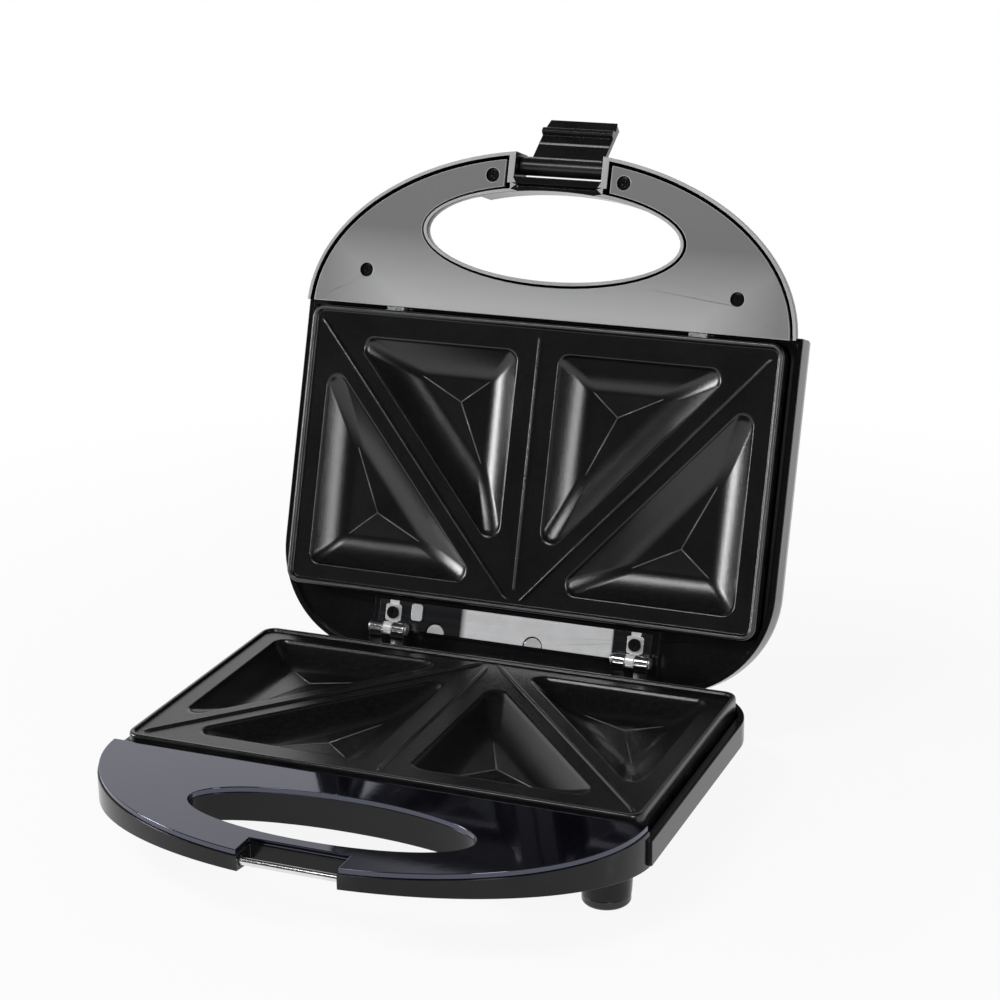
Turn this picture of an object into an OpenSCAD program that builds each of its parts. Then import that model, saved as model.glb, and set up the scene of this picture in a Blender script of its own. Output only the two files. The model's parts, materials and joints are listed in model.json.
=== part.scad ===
// Two-slice sandwich toaster, hinged at the back and standing open.
// Millimetres. The two halves are drawn alike in a "half frame": x across, y towards the back, and h
// measured outwards from the plane in which the two plates meet when the toaster is closed.
// The lower half is that drawing mirrored downwards. The upper half is drawn closed, then swung open.

/* [Plates] */
// Width of the cooking plates
plate_w = 218; // [208:1:230]
// Depth of the cooking plates, front to back
plate_d = 125; // [120:1:132]
// Radius of the plates' corners
plate_corner_r = 6; // [4:0.5:8]
// Thickness of the cast plates
plate_t = 2; // [1.6:0.1:2.4]
// Depth of the skirt around each plate
skirt_h = 10.5; // [9.5:0.5:12]
// Height of the bead around each plate's face
bead_h = 1.2; // [0.8:0.1:1.6]
// Width of that bead
bead_w = 2.4; // [1.6:0.2:3.2]
// Depth of a pocket at the foot of its wall, below the plate's face
pocket_wall_h = 8; // [6:0.5:8.5]
// Width of a pocket's wall, seen from above, from its mouth to its flat floor
pocket_wall_run = 12.5; // [10:0.5:14]
// Further fall of a pocket's floor, from its edge to its middle
pocket_floor_fall = 2.4; // [1:0.2:3]
// Radius of a pocket's corners, at its mouth
pocket_corner_r = 5; // [3:0.5:7]
// Space between the centre rib and an inner pocket
centre_web = 9.4; // [8:0.2:12]
// Space between the plate's front edge and an inner pocket
front_web = 12.6; // [11:0.2:16]
// Space between the plate's side edge and an outer pocket
side_web = 10; // [8:0.5:13]
// Space between the plate's back edge and an outer pocket
back_web = 9.2; // [8:0.2:12]
// Space between the diagonal rib and the pocket on either side of it
diagonal_web = 7; // [6:0.2:8]
// Width of the raised cutting ribs
rib_w = 1.6; // [1.2:0.2:2.4]

/* [Housings] */
// Width of the housings' rims beside the plates
side_margin = 5.5; // [5:0.5:9]
// Thickness of the housings' walls
wall = 2.5; // [2:0.1:3]
// How far the housings' rims stand back from the meeting plane
rim_drop = 7.5; // [6.5:0.5:8]
// Height of the upright band below each rim
band_h = 10; // [8:0.5:11]
// Depth of the lower housing, from the meeting plane to its floor
lower_depth = 36; // [35:0.5:40]
// Height of the upper housing, from the meeting plane to its top
upper_height = 40; // [38:0.5:46]
// How far the lower housing's floor is drawn in from its band
lower_taper = 22; // [19:0.5:23]
// How far the upper housing's flat top is drawn in from its band
upper_taper = 25; // [20:1:26]
// Reach of the upper housing behind the plates
upper_rear = 27; // [26:0.5:30]
// Radius of the lower housing's back corners
lower_rear_r = 31; // [28:1:31]
// Radius of the upper housing's back corners
upper_rear_r = 46; // [42:1:46]
// Depth of the ledge inside each rim, below it
deck_drop = 1.5; // [1:0.1:2]
// Thickness of that ledge
deck_t = 2; // [1.6:0.1:2.6]
// Gap around each plate in its ledge
plate_gap = 0.5; // [0.3:0.1:0.8]

/* [Handles] */
// How far the crescent handles' tips stand inside the housings' sides
handle_in = 1.5; // [0.5:0.1:3]
// Reach of the handles in front of the plates
handle_reach = 74.5; // [70:0.5:80]
// How far the handle covers' faces stand back from the meeting plane
cover_drop = 2; // [1.5:0.1:2.5]
// Thickness of the handle covers
cover_t = 2.2; // [1.8:0.1:2.6]
// Gap between a plate's front edge and its handle cover
cover_gap = 1.8; // [1.4:0.1:2.2]
// Wall of the handle mouldings
handle_wall = 1.6; // [1.4:0.1:2.2]
// Depth of the lower handle at its back, from the meeting plane
lower_handle_back = 19.3; // [18:0.1:20]
// Depth of the lower handle at its front
lower_handle_front = 10.2; // [10:0.1:12]
// Height of the upper handle at its back
upper_handle_back = 22; // [20:0.5:24]
// Height of the upper handle at its front
upper_handle_front = 15.5; // [15:0.5:18]
// Height up to which the upper handle's sides stand upright, before they curve in
upper_handle_edge = 4.5; // [3:0.5:6]
// Half of the finger holes' width
hole_half_w = 58.5; // [52:0.5:62]
// Half of the finger holes' depth
hole_half_d = 19.5; // [17:0.5:20]
// Distance of the finger holes' middle in front of the plates
hole_ahead = 37.5; // [36:0.5:38.5]
// Width of the black groove around the upper cover
groove_w = 1.4; // [1:0.1:1.8]
// How far the lower cover stands in from the moulding under it
cover_lip = 0.6; // [0.3:0.1:1]

/* [Latch] */
// Width of the notches for the latch
notch_w = 40; // [37:1:46]
// Distance of the notches' floor behind the handles' front
notch_depth = 12; // [11.5:0.1:12.5]
// Thickness of the notches' side walls, where the rod and the latch's pin are held
notch_wall = 3; // [2.6:0.1:3.6]
// Width of the latch
latch_w = 33; // [28:0.5:36]
// Length of the latch, from its pivot to its tip
latch_len = 33.5; // [31:0.5:34]
// Thickness of the latch's flap
latch_t = 2.6; // [2.2:0.1:3]
// Height of the latch's pivot above the meeting plane, with the lid closed
pivot_h = 10; // [9.5:0.1:10.5]
// Distance of the latch's pivot behind the handle's front
pivot_back = 6.5; // [6.2:0.1:6.8]
// Radius of the latch's barrel
barrel_r = 4; // [3.6:0.1:4.2]
// Radius of the latch's pin
latch_pin_r = 1.25; // [1:0.05:1.4]
// Depth of the catch rod below the meeting plane
rod_drop = 7.3; // [7:0.1:7.6]
// Distance of the catch rod behind the handle's front
rod_back = 4.2; // [4:0.1:4.8]
// Radius of the catch rod
rod_r = 1.5; // [1.2:0.05:1.6]
// Angle of the open latch, from straight back and turning upwards, with the lid closed
latch_rest_deg = 140; // [130:1:150]

/* [Hinge] */
// Angle by which the lid stands open
lid_open_deg = 108; // [100:1:110]
// Distance of the hinge axis behind the plates
hinge_back = 14.8; // [14.4:0.1:15.2]
// How far the hinge axis lies inside the lower housing's back face
hinge_in = 0.7; // [0.5:0.1:1]
// Height of the hinge axis above the meeting plane
hinge_up = 0.7; // [0.4:0.1:1]
// Distance of each hinge from the middle
hinge_x = 56.5; // [50:0.5:60]
// Radius of the hinge pins
hinge_pin_r = 1.5; // [1.2:0.1:1.7]
// Wall of the rolled knuckles around the pins
knuckle_wall = 1.24; // [1.1:0.01:1.3]
// Width of a bracket's knuckle
knuckle_w = 5.8; // [5:0.1:6.5]
// Width of the lid's knuckle, between those of a bracket
mid_knuckle_w = 3.8; // [3:0.1:4.4]
// Thickness of the hinge's sheet steel
sheet_t = 1.2; // [1:0.1:1.4]
// Running clearance of every pin in its bore, all round
run_gap = 0.05; // [0.03:0.01:0.08]
// Clearance between parts that slide past each other's ends
end_gap = 0.3; // [0.2:0.05:0.4]

/* [Heating] */
// Radius of the tubular heating elements
element_r = 3.2; // [2.8:0.1:3.4]
// Radius of the elements' bends
element_bend_r = 12; // [9:0.5:14]
// Distance of the elements' cold ends from the middle
element_leg_x = 20; // [18:0.5:24]
// Thickness of the reflector trays
tray_t = 0.8; // [0.6:0.1:1]

/* [Feet] */
// Height of the rubber feet's pads
pad_h = 4; // [3:0.5:5]
// Radius of the pads
pad_r = 9.5; // [8.5:0.25:10]
// Clearance of the lower housing's floor above what it stands on
floor_clear = 6; // [5.5:0.5:8]
// Distance of the front feet from the housing's sides
front_foot_side = 22.5; // [21.5:0.5:27]
// Distance of the front feet from the housing's front
front_foot_in = 13.2; // [12.5:0.1:16]
// Distance of the back feet from the housing's sides
rear_foot_side = 34.5; // [32:0.5:42]
// Distance of the back feet from the housing's back
rear_foot_in = 11.5; // [11:0.1:13]

/* [Fittings] */
// Radius of the cable's bore through its gland
gland_bore_r = 3.4; // [3:0.1:3.6]
// Distance of the gland from the middle
gland_x = 45; // [30:1:55]
// Radius of the indicator lenses
lens_r = 4.2; // [3.6:0.1:4.6]
// Spacing of the indicator lenses
lens_pitch = 26; // [20:1:36]
// Shank radius of the small screws
screw_r = 1.5; // [1.3:0.05:1.6]
// Head radius of the small screws
screw_head_r = 2.8; // [2.6:0.1:3]

/* [Hidden] */

$fn = 64;
arc_n = 60; // steps along a crescent's edge
loop_n = 9; // steps around one corner of a pocket
wall_n = 6; // steps down a pocket's wall
cut = 0.01; // overlap that lets one shape cut cleanly through another
deep = 100; // longer than anything that is cut

seat_gap = 0.1; // between a part and the seat that it rests on
face_h = bead_h; // the plates' faces
rib_top = 0.2; // the ribs' crests, just inside the meeting plane
floor_edge_h = face_h + pocket_wall_h;
floor_mid_h = floor_edge_h + pocket_floor_fall;
half_w = plate_w / 2 + side_margin;
handle_half_w = half_w - handle_in;
housing_front = plate_d + wall + 0.7;
lower_rear = hinge_back + hinge_in;
bracket_screw_y = lower_rear - wall - 5.2;
rim_to_band = rim_drop + band_h;
deck_h = rim_drop + deck_drop;
handle_front = plate_d + handle_reach;
cover_front_y = plate_d + cover_gap;
cover_back_h = cover_drop + cover_t;
upper_rim_h = cover_drop - 0.6; // the upper handle's rim stands a little proud of its cover
hole_y = plate_d + hole_ahead;
notch_y = handle_front - notch_depth;
pivot_y = handle_front - pivot_back;
rod_y = handle_front - rod_back;
ground_h = lower_depth + floor_clear;
bore_r = hinge_pin_r + run_gap;
knuckle_r = bore_r + knuckle_wall;
knuckle_x = mid_knuckle_w / 2 + end_gap;
hinge_span = knuckle_x + knuckle_w;
strap_h = hinge_up + knuckle_r + 1.1; // underside of the lid's strap, clear of the brackets' knuckles
strap_back = hinge_back + 0.2;
hub_r = screw_r + 2.4;
head_h = 1.6; // thickness of the screw heads
socket_depth = notch_wall - 0.5; // of the sockets beside the notches
tower_half_w = notch_w / 2 + 16; // of the latch's tower, which holds two of the cover's pillars
// How far the upper handle's sides are drawn in, as [height, inset], and the finger hole's share of it
handle_curve = [[upper_handle_edge, 0], [upper_handle_edge + 3, 1.5], [upper_handle_edge + 7, 4.8],
    [upper_handle_edge + 12, 10], [upper_handle_edge + 19, 18]];
hole_share = 0.55;

// The catch: the closed latch stands with its inner face just in front of the rod
latch_face = 1;
catch_gap = 0.35;
rod_out = latch_face + catch_gap + rod_r;
rod_reach = norm([pivot_y - rod_y, pivot_h + rod_drop]);
rod_deg = 360 - atan2(pivot_h + rod_drop, pivot_y - rod_y);
latch_shut_deg = rod_deg - asin(rod_out / rod_reach);
barb_in = rod_reach + rod_r + catch_gap + 0.1;
latch_travel = latch_shut_deg - latch_rest_deg;
echo(latch_travel = latch_travel);

// Pockets' triangles, seen in x (to the right) and v (forward from the plates' back edge)
rib_foot = [3, 4];
rib_head = [plate_w / 2 - 5, plate_d - 6];
rib_slope = (rib_head[1] - rib_foot[1]) / (rib_head[0] - rib_foot[0]);
rib_shift = diagonal_web * sqrt(1 + rib_slope * rib_slope);
function rib_v(x) = rib_foot[1] + rib_slope * (x - rib_foot[0]);
function rib_x(v) = rib_foot[0] + (v - rib_foot[1]) / rib_slope;
inner_pocket = [
    [centre_web, plate_d - front_web],
    [centre_web, rib_v(centre_web) + rib_shift],
    [rib_x(plate_d - front_web - rib_shift), plate_d - front_web]];
outer_pocket = [
    [plate_w / 2 - side_web, back_web],
    [plate_w / 2 - side_web, rib_v(plate_w / 2 - side_web) - rib_shift],
    [rib_x(back_web + rib_shift), back_web]];

// Incentre and inradius of a triangle
function side(t, i) = norm(t[(i + 1) % 3] - t[(i + 2) % 3]);
function incentre(t) = (side(t, 0) * t[0] + side(t, 1) * t[1] + side(t, 2) * t[2])
    / (side(t, 0) + side(t, 1) + side(t, 2));
function inradius(t) = abs((t[1] - t[0])[0] * (t[2] - t[0])[1] - (t[1] - t[0])[1] * (t[2] - t[0])[0])
    / (side(t, 0) + side(t, 1) + side(t, 2));
function unit(a) = a / norm(a);
function heading(a) = atan2(a[1], a[0]);
function turn(a) = a > 180 ? a - 360 : a < -180 ? a + 360 : a;

// One rounded corner of a triangle: an arc of radius r, tangent to both of its sides
function corner_arc(p, before, after, r) =
    let (a = unit(before - p), b = unit(after - p),
        half = acos(a * b) / 2,
        mid = p + unit(a + b) * r / sin(half),
        start = heading(p + a * r / tan(half) - mid),
        sweep = turn(heading(p + b * r / tan(half) - mid) - start))
    [for (i = [0:loop_n]) mid + r * [cos(start + sweep * i / loop_n), sin(start + sweep * i / loop_n)]];
function rounded_triangle(t, r) = concat(corner_arc(t[0], t[2], t[1], r),
    corner_arc(t[1], t[0], t[2], r), corner_arc(t[2], t[1], t[0], r));
// A rounded triangle drawn in by d on every side, counter-clockwise in x and y = -v
function drawn_in(t, d) = let (c = incentre(t), k = 1 - d / inradius(t))
    [for (p = rounded_triangle(t, pocket_corner_r)) let (q = c + (p - c) * k) [q[0], -q[1]]];
function ring(t, d, h) = [for (p = drawn_in(t, d)) [p[0], p[1], h]];

// Where a point of the closed upper half, at y and h, comes to when the lid stands open
function open_y(y, h) = hinge_back + (y - hinge_back) * cos(lid_open_deg)
    + (h - hinge_up) * sin(lid_open_deg);
function on_latch(u, s) = [
    -pivot_y + u * cos(latch_rest_deg) - s * sin(latch_rest_deg),
    pivot_h + u * sin(latch_rest_deg) + s * cos(latch_rest_deg)];

// The latch's side view: u runs from the pivot to the tip, s towards the rod when the latch closes
latch_back = latch_face - latch_t;
lip_out = 3.4;
barb_len = 2.6;
barb_out = rod_out + 0.75;
latch_side = [
    [0, latch_back], [latch_len - 7, latch_back], [latch_len - 2, latch_back - lip_out],
    [latch_len, latch_back - lip_out], [latch_len, latch_back - lip_out + 2.2],
    [latch_len - 4, latch_face], [barb_in + barb_len + 2, latch_face],
    [barb_in + barb_len, barb_out], [barb_in + 0.6, barb_out], [barb_in, barb_out - 0.6],
    [barb_in, latch_face], [0, latch_face]];

// The whole toaster's middle, front to back, as it stands
rear_tip = max([for (p = latch_side) let (q = on_latch(p[0], p[1])) open_y(q[0], q[1])]);
front_tip = plate_d + handle_reach * sqrt(1 - pow(notch_w / 2 / handle_half_w, 2));
mid_y = (rear_tip - front_tip) / 2;

// Where things are screwed down
cover_screw_at = [[notch_w / 2 + 10.2, handle_reach - 12], [handle_half_w - 27.3, 17]]; // x, and ahead
cover_boss_at = [for (p = cover_screw_at) [p[0], plate_d + p[1]]];
tray_screw_v = [30, plate_d - 25];
tray_in = 7; // how far the trays' walls stand inside the plates' edges
tray_corner_r = 4;
element_end = 9; // the elements' sheaths end this far in front of the plates' back edge
element_h = floor_mid_h + plate_t + seat_gap + element_r;
tray_h = element_h + element_r + seat_gap;
element_front = incentre(inner_pocket)[1];
element_rear = incentre(outer_pocket)[1];
element_side = incentre(outer_pocket)[0] + 7;
post_at = [element_side - 20.4, (element_front + element_rear) / 2];
lens_v = 84;

// ---- Placing ----
module standing() translate([0, -mid_y, ground_h]) children();
module lower() standing() mirror([0, 0, 1]) children();
module upper() standing() translate([0, hinge_back, hinge_up]) rotate([-lid_open_deg, 0, 0])
    translate([0, -hinge_back, -hinge_up]) children();

// ---- Shared shapes ----
// A block whose sides follow a profile of [height, inset] pairs, with round back corners
module profile_block(prof, w, front, rear, rr) {
    n = len(prof);
    mid = -front / 2;
    module across(from, to) translate([0, to, 0]) rotate([90, 0, 0]) linear_extrude(to - from)
        polygon(concat([for (p = prof) [w - p[1], p[0]]],
            [for (i = [n - 1:-1:0]) [prof[i][1] - w, prof[i][0]]]));
    module along(reach, half) rotate([90, 0, 90]) translate([0, 0, -half]) linear_extrude(2 * half)
        polygon(concat([for (p = prof) [reach - p[1], p[0]]],
            [for (i = [n - 1:-1:0]) [-mid - cut, prof[i][0]]]));
    for (s = [-1, 1]) translate([s * (w - rr), rear - rr, 0]) rotate_extrude()
        polygon(concat([[0, prof[0][0]]], [for (p = prof) [rr - p[1], p[0]]], [[0, prof[n - 1][0]]]));
    across(mid, rear - rr);
    rotate([90, 0, 90]) translate([0, 0, rr - w]) linear_extrude(2 * (w - rr))
        polygon(concat([for (p = prof) [rear - p[1], p[0]]],
            [for (i = [n - 1:-1:0]) [mid, prof[i][0]]]));
    // the front's faces meet the sides' in mitres
    intersection() {
        across(-front, mid);
        mirror([0, 1, 0]) along(front, w);
    }
}

// The housings' outline, seen from above, drawn in by d
module outline(rear, rr, d) {
    w = half_w - d;
    f = housing_front - d;
    for (s = [-1, 1]) translate([s * (half_w - rr), rear - rr]) circle(rr - d);
    translate([-w, -f]) square([2 * w, rear - rr + f]);
    translate([rr - half_w, -plate_d / 2]) square([2 * (half_w - rr), plate_d / 2 + rear - d]);
}

// The plates' outline, grown by g, with corners of radius r
module plate_outline(g, r = plate_corner_r) {
    w = plate_w / 2 + g;
    for (x = [r - w, w - r], y = [g - r, r - plate_d - g]) translate([x, y]) circle(r);
    translate([r - w, -plate_d - g]) square([2 * (w - r), plate_d + 2 * g]);
    translate([-w, r - plate_d - g]) square([2 * w, plate_d + 2 * (g - r)]);
}

// A handle's crescent, drawn in by d, from the line y = -back forwards
function crescent_points(d, back) = let (a = handle_half_w - d, b = handle_reach - d,
        t0 = asin((back - plate_d) / b))
    [for (i = [0:arc_n]) let (t = t0 + (180 - 2 * t0) * i / arc_n) [a * cos(t), -plate_d - b * sin(t)]];
function hole_points(grow) = [for (i = [0:arc_n - 1]) let (t = 360 * i / arc_n)
    [(hole_half_w + grow) * cos(t), -hole_y - (hole_half_d + grow) * sin(t)]];
module crescent(d, back) polygon(crescent_points(d, back));
module finger_hole(grow) polygon(hole_points(grow));
module notch(grow) translate([-notch_w / 2 - grow, -handle_front - deep])
    square([notch_w + 2 * grow, deep + notch_depth + grow]);

// A straight rod across a notch, which runs into the wall on each side by the given depth
module across_notch(r, depth) translate([-notch_w / 2 - depth, 0, 0]) rotate([0, 90, 0])
    cylinder(h = notch_w + 2 * depth, r = r);

// A solid through stacked rings, given as [height, points], with as many points in each
module lofted(rings) {
    n = len(rings[0][1]);
    top = (len(rings) - 1) * n;
    polyhedron([for (r = rings) each [for (p = r[1]) [p[0], p[1], r[0]]]], concat(
        [[for (i = [n - 1:-1:0]) i]],
        [for (j = [0:n:top - n], i = [0:n - 1]) let (a = j + i, b = j + (i + 1) % n)
            each [[a, b, b + n], [a, b + n, a + n]]],
        [[for (i = [0:n - 1]) top + i]]));
}

// Around the latch the upper handle's sides stand upright all the way
module latch_tower(d) translate([d - tower_half_w, -handle_front - 1, 0])
    cube([2 * (tower_half_w - d), handle_front + 1 - hole_y, deep]);

// The upper handle's outer sides, and its finger hole, both moved by d into the moulding
module curved_crescent(from, d) {
    lofted([for (c = concat([[from, 0]], handle_curve))
        [c[0], crescent_points(c[1] + d, cover_front_y + d)]]);
    intersection() {
        translate([0, 0, from]) linear_extrude(deep / 2) crescent(d, cover_front_y + d);
        latch_tower(d);
    }
}
module curved_hole(from, d) {
    translate([0, 0, from]) linear_extrude(deep) finger_hole(d);
    difference() {
        lofted([for (c = concat([[from, 0]], handle_curve)) [c[0], hole_points(hole_share * c[1] + d)]]);
        latch_tower(d);
    }
}

// What lies beyond a handle's sloping outer face
module beyond_handle(back_h, front_h) rotate([90, 0, 90]) translate([0, 0, -deep * 1.5])
    linear_extrude(3 * deep) polygon([[-plate_d, back_h], [-handle_front, front_h],
        [-handle_front - 9, front_h - 9 * (back_h - front_h) / handle_reach],
        [-handle_front - 9, deep], [-plate_d, deep]]);

// A handle moulding: rim, walls around hole and notch, sloping outer wall. A curved one leans in.
module handle_moulding(rim_h, back_h, front_h, curved) difference() {
    if (curved) curved_crescent(rim_h, 0);
    else translate([0, 0, rim_h]) linear_extrude(deep / 2) crescent(0, cover_front_y);
    beyond_handle(back_h, front_h);
    difference() {
        if (curved) curved_crescent(rim_h - cut, handle_wall);
        else translate([0, 0, rim_h - cut]) linear_extrude(deep / 2)
            crescent(handle_wall, cover_front_y + handle_wall);
        if (curved) curved_hole(0, handle_wall);
        else linear_extrude(deep) finger_hole(handle_wall);
        linear_extrude(deep) notch(notch_wall);
        beyond_handle(back_h - wall, front_h - wall);
    }
    // the wall behind the cover's back edge stops under the cover
    translate([handle_wall - handle_half_w, -cover_front_y - handle_wall - cut, 0])
        cube([2 * (handle_half_w - handle_wall), handle_wall + 2 * cut, cover_back_h]);
}

// Pillars in a handle moulding, up to its cover's screws
module cover_pillars(h0, back_h, front_h) difference() {
    for (p = cover_boss_at, s = [-1, 1]) translate([s * p[0], -p[1], h0])
        cylinder(h = deep / 2, r = screw_head_r + 1.8);
    beyond_handle(back_h - wall / 2, front_h - wall / 2);
}

// A round pillar with a blind bore at its near end
module pillar(h0, h1, r, bore, bore_depth) difference() {
    translate([0, 0, h0]) cylinder(h = h1 - h0, r = r);
    translate([0, 0, h0 - cut]) cylinder(h = bore_depth + cut, r = bore);
}

// A round-headed screw with a cross recess. Its head's face is at h = 0 and it points upwards.
module screw(length) difference() {
    union() {
        cylinder(h = head_h, r = screw_head_r);
        cylinder(h = length, r = screw_r);
    }
    for (a = [0, 90]) rotate(a) translate([-1.7, -0.35, -cut]) cube([3.4, 0.7, 0.9]);
}

// One half's housing: shell, ledge around the plate, handle moulding and pillars
module housing(prof, inner_prof, rear, rr, top, rim_h, back_h, front_h, curved = false) {
    difference() {
        union() {
            difference() {
                profile_block(prof, half_w, housing_front, rear, rr);
                profile_block(inner_prof, half_w - wall, housing_front - wall, rear - wall, rr - wall);
            }
            // ledge around the plate
            translate([0, 0, deck_h]) linear_extrude(deck_t) difference() {
                outline(rear, rr, wall / 2);
                plate_outline(plate_gap, plate_corner_r + plate_gap);
            }
            for (s = [-1, 1]) translate([s * post_at[0], -post_at[1], 0])
                pillar(tray_h + tray_t, top - wall / 2, hub_r, screw_r + run_gap, 7);
            handle_moulding(rim_h, back_h, front_h, curved);
        }
        // the finger hole and the notch go right through
        if (curved) curved_hole(0, 0);
        else linear_extrude(deep) finger_hole(0);
        linear_extrude(deep) notch(0);
    }
}

// A pocket's wall: steep under its mouth, then one long curve that runs out into the floor.
// Each ring is given by how far it is drawn in and by its height.
function wall_rings(start, start_h, end_h) = [for (i = [0:wall_n]) let (t = 90 * i / wall_n)
    [start + (pocket_wall_run - start) * (1 - cos(t)), start_h + (end_h - start_h) * sin(t)]];
module pocket(t) {
    inside = concat([[0, face_h]], wall_rings(0.7, face_h + 0.8, floor_edge_h));
    outside = concat([[-plate_t, face_h]],
        wall_rings(-plate_t, face_h + plate_t, floor_edge_h + plate_t));
    n = 3 * (loop_n + 1);
    c = incentre(t);
    points = concat(
        [for (r = inside) each ring(t, r[0], r[1])], [[c[0], -c[1], floor_mid_h]],
        [for (r = outside) each ring(t, r[0], r[1])], [[c[0], -c[1], floor_mid_h + plate_t]]);
    a = len(inside);
    b = len(outside);
    in_mid = a * n;
    out_0 = in_mid + 1;
    out_mid = out_0 + b * n;
    function quad(p, q, i) = let (j = (i + 1) % n) [[p + i, p + j, q + j], [p + i, q + j, q + i]];
    function flip(f) = [for (x = f) [x[2], x[1], x[0]]];
    polyhedron(points, concat(
        [for (k = [0:a - 2], i = [0:n - 1]) each flip(quad(k * n, k * n + n, i))],
        [for (i = [0:n - 1]) [in_mid, (i + 1) % n + (a - 1) * n, i + (a - 1) * n]],
        [for (k = [0:b - 2], i = [0:n - 1]) each quad(out_0 + k * n, out_0 + k * n + n, i)],
        [for (i = [0:n - 1]) [out_mid, i + out_0 + (b - 1) * n, (i + 1) % n + out_0 + (b - 1) * n]],
        [for (i = [0:n - 1]) each quad(0, out_0, i)]));
}

// A cast plate: skirt, bead, face with four pockets, ribs and screw bosses
module plate() {
    difference() {
        linear_extrude(skirt_h) plate_outline(0);
        translate([0, 0, face_h + plate_t]) linear_extrude(skirt_h)
            plate_outline(-plate_t, plate_corner_r - plate_t);
        translate([0, 0, -cut]) linear_extrude(face_h + cut) plate_outline(-bead_w, plate_corner_r - bead_w);
        for (s = [0, 1], t = [inner_pocket, outer_pocket]) mirror([s, 0, 0])
            translate([0, 0, -cut]) linear_extrude(skirt_h) polygon(drawn_in(t, -plate_t / 2));
    }
    for (s = [0, 1], t = [inner_pocket, outer_pocket]) mirror([s, 0, 0]) pocket(t);
    // cutting ribs: one across the middle, and two that meet behind it
    rib_base = face_h + plate_t / 2;
    translate([-rib_w / 2, -rib_head[1], rib_top]) cube([rib_w, rib_head[1] - 8, rib_base - rib_top]);
    for (s = [-1, 1]) translate([s * rib_foot[0], -rib_foot[1], rib_top])
        rotate(s > 0 ? -atan(rib_slope) : 180 + atan(rib_slope))
        translate([0, -rib_w / 2, 0]) cube([norm(rib_head - rib_foot), rib_w, rib_base - rib_top]);
    // bosses for the tray's screws
    for (v = tray_screw_v) translate([0, -v, 0]) difference() {
        translate([0, 0, rib_base]) cylinder(h = tray_h - rib_base, r = hub_r);
        translate([0, 0, tray_h - 8]) cylinder(h = 9, r = screw_r + run_gap);
    }
}

// A bent tubular heater with its two cold ends towards the back
module tube(p, q) translate([p[0], -p[1], 0]) rotate([0, 0, -atan2(q[1] - p[1], q[0] - p[0])])
    rotate([0, 90, 0]) cylinder(h = norm(q - p), r = element_r);
module elbow(c, from) translate([c[0], -c[1], 0]) rotate(from)
    rotate_extrude(angle = 90) translate([element_bend_r, 0]) circle(element_r);
module element() translate([0, 0, element_h]) {
    bend = element_bend_r;
    leg_front = element_rear - bend;
    for (s = [0, 1]) mirror([s, 0, 0]) {
        tube([element_leg_x, element_end], [element_leg_x, leg_front]);
        elbow([element_leg_x + bend, leg_front], 180);
        tube([element_leg_x + bend, element_rear], [element_side - bend, element_rear]);
        elbow([element_side - bend, element_rear + bend], 0);
        tube([element_side, element_rear + bend], [element_side, element_front - bend]);
        elbow([element_side - bend, element_front - bend], -90);
        // cold end
        translate([element_leg_x, -element_end - cut, 0]) rotate([-90, 0, 0])
            cylinder(h = element_end - 2, r = 1.4);
    }
    tube([bend - element_side, element_front], [element_side - bend, element_front]);
}

// A reflector tray behind a plate
module reflector() difference() {
    union() {
        translate([0, 0, skirt_h + seat_gap]) linear_extrude(tray_t) difference() {
            plate_outline(-end_gap);
            plate_outline(-tray_in, tray_corner_r);
        }
        translate([0, 0, skirt_h + seat_gap]) linear_extrude(tray_h + tray_t - skirt_h - seat_gap)
            difference() {
                plate_outline(tray_t - tray_in, tray_corner_r + tray_t);
                plate_outline(-tray_in, tray_corner_r);
            }
        translate([0, 0, tray_h]) linear_extrude(tray_t)
            plate_outline(tray_t - tray_in, tray_corner_r + tray_t);
    }
    for (v = tray_screw_v) translate([0, -v, 0]) cylinder(h = deep, r = screw_r + 0.2);
    for (s = [-1, 1]) {
        translate([s * post_at[0], -post_at[1], 0]) cylinder(h = deep, r = screw_r + 0.2);
        // the element's cold ends pass through here
        translate([s * element_leg_x, -tray_in - 1, element_h]) rotate([-90, 0, 0])
            cylinder(h = tray_in, r = 2.4);
    }
}
tray_screw_len = 8;
module tray_screws() {
    for (v = tray_screw_v) translate([0, -v, tray_h + tray_t + head_h])
        mirror([0, 0, 1]) screw(tray_screw_len);
    for (s = [-1, 1]) translate([s * post_at[0], -post_at[1], tray_h - head_h]) screw(tray_screw_len);
}

// ---- Lower half ----
lower_prof = [[rim_drop, 0], [rim_to_band, 0], [rim_to_band + 1, 1.4],
    [lower_depth - 1.5, lower_taper - 2.4], [lower_depth, lower_taper]];
lower_inner = [[rim_drop - 1, 0], [rim_to_band - 1, 0], [rim_to_band - 0.6, 1.2],
    [lower_depth - wall - 1, lower_taper - 2.6], [lower_depth - wall, lower_taper - 0.6]];
leg_h = ground_h - pad_h;
plug_r = 3;
plug_len = 5;
pad_bevel = 1;
boss_wall = 3.4; // of moulding under a screw head in the lower handle
cover_screw_in = 1.1; // how far those screws reach into the lower cover
lower_screw_seat = cover_back_h + boss_wall;
gland_h = rim_to_band + 8.5;
gland_r = gland_bore_r + 1.6;
gland_hub_r = gland_r + 2.4;
gland_face = lower_rear - 2;
gland_len = 17;
gland_flange = 1.8;

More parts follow.
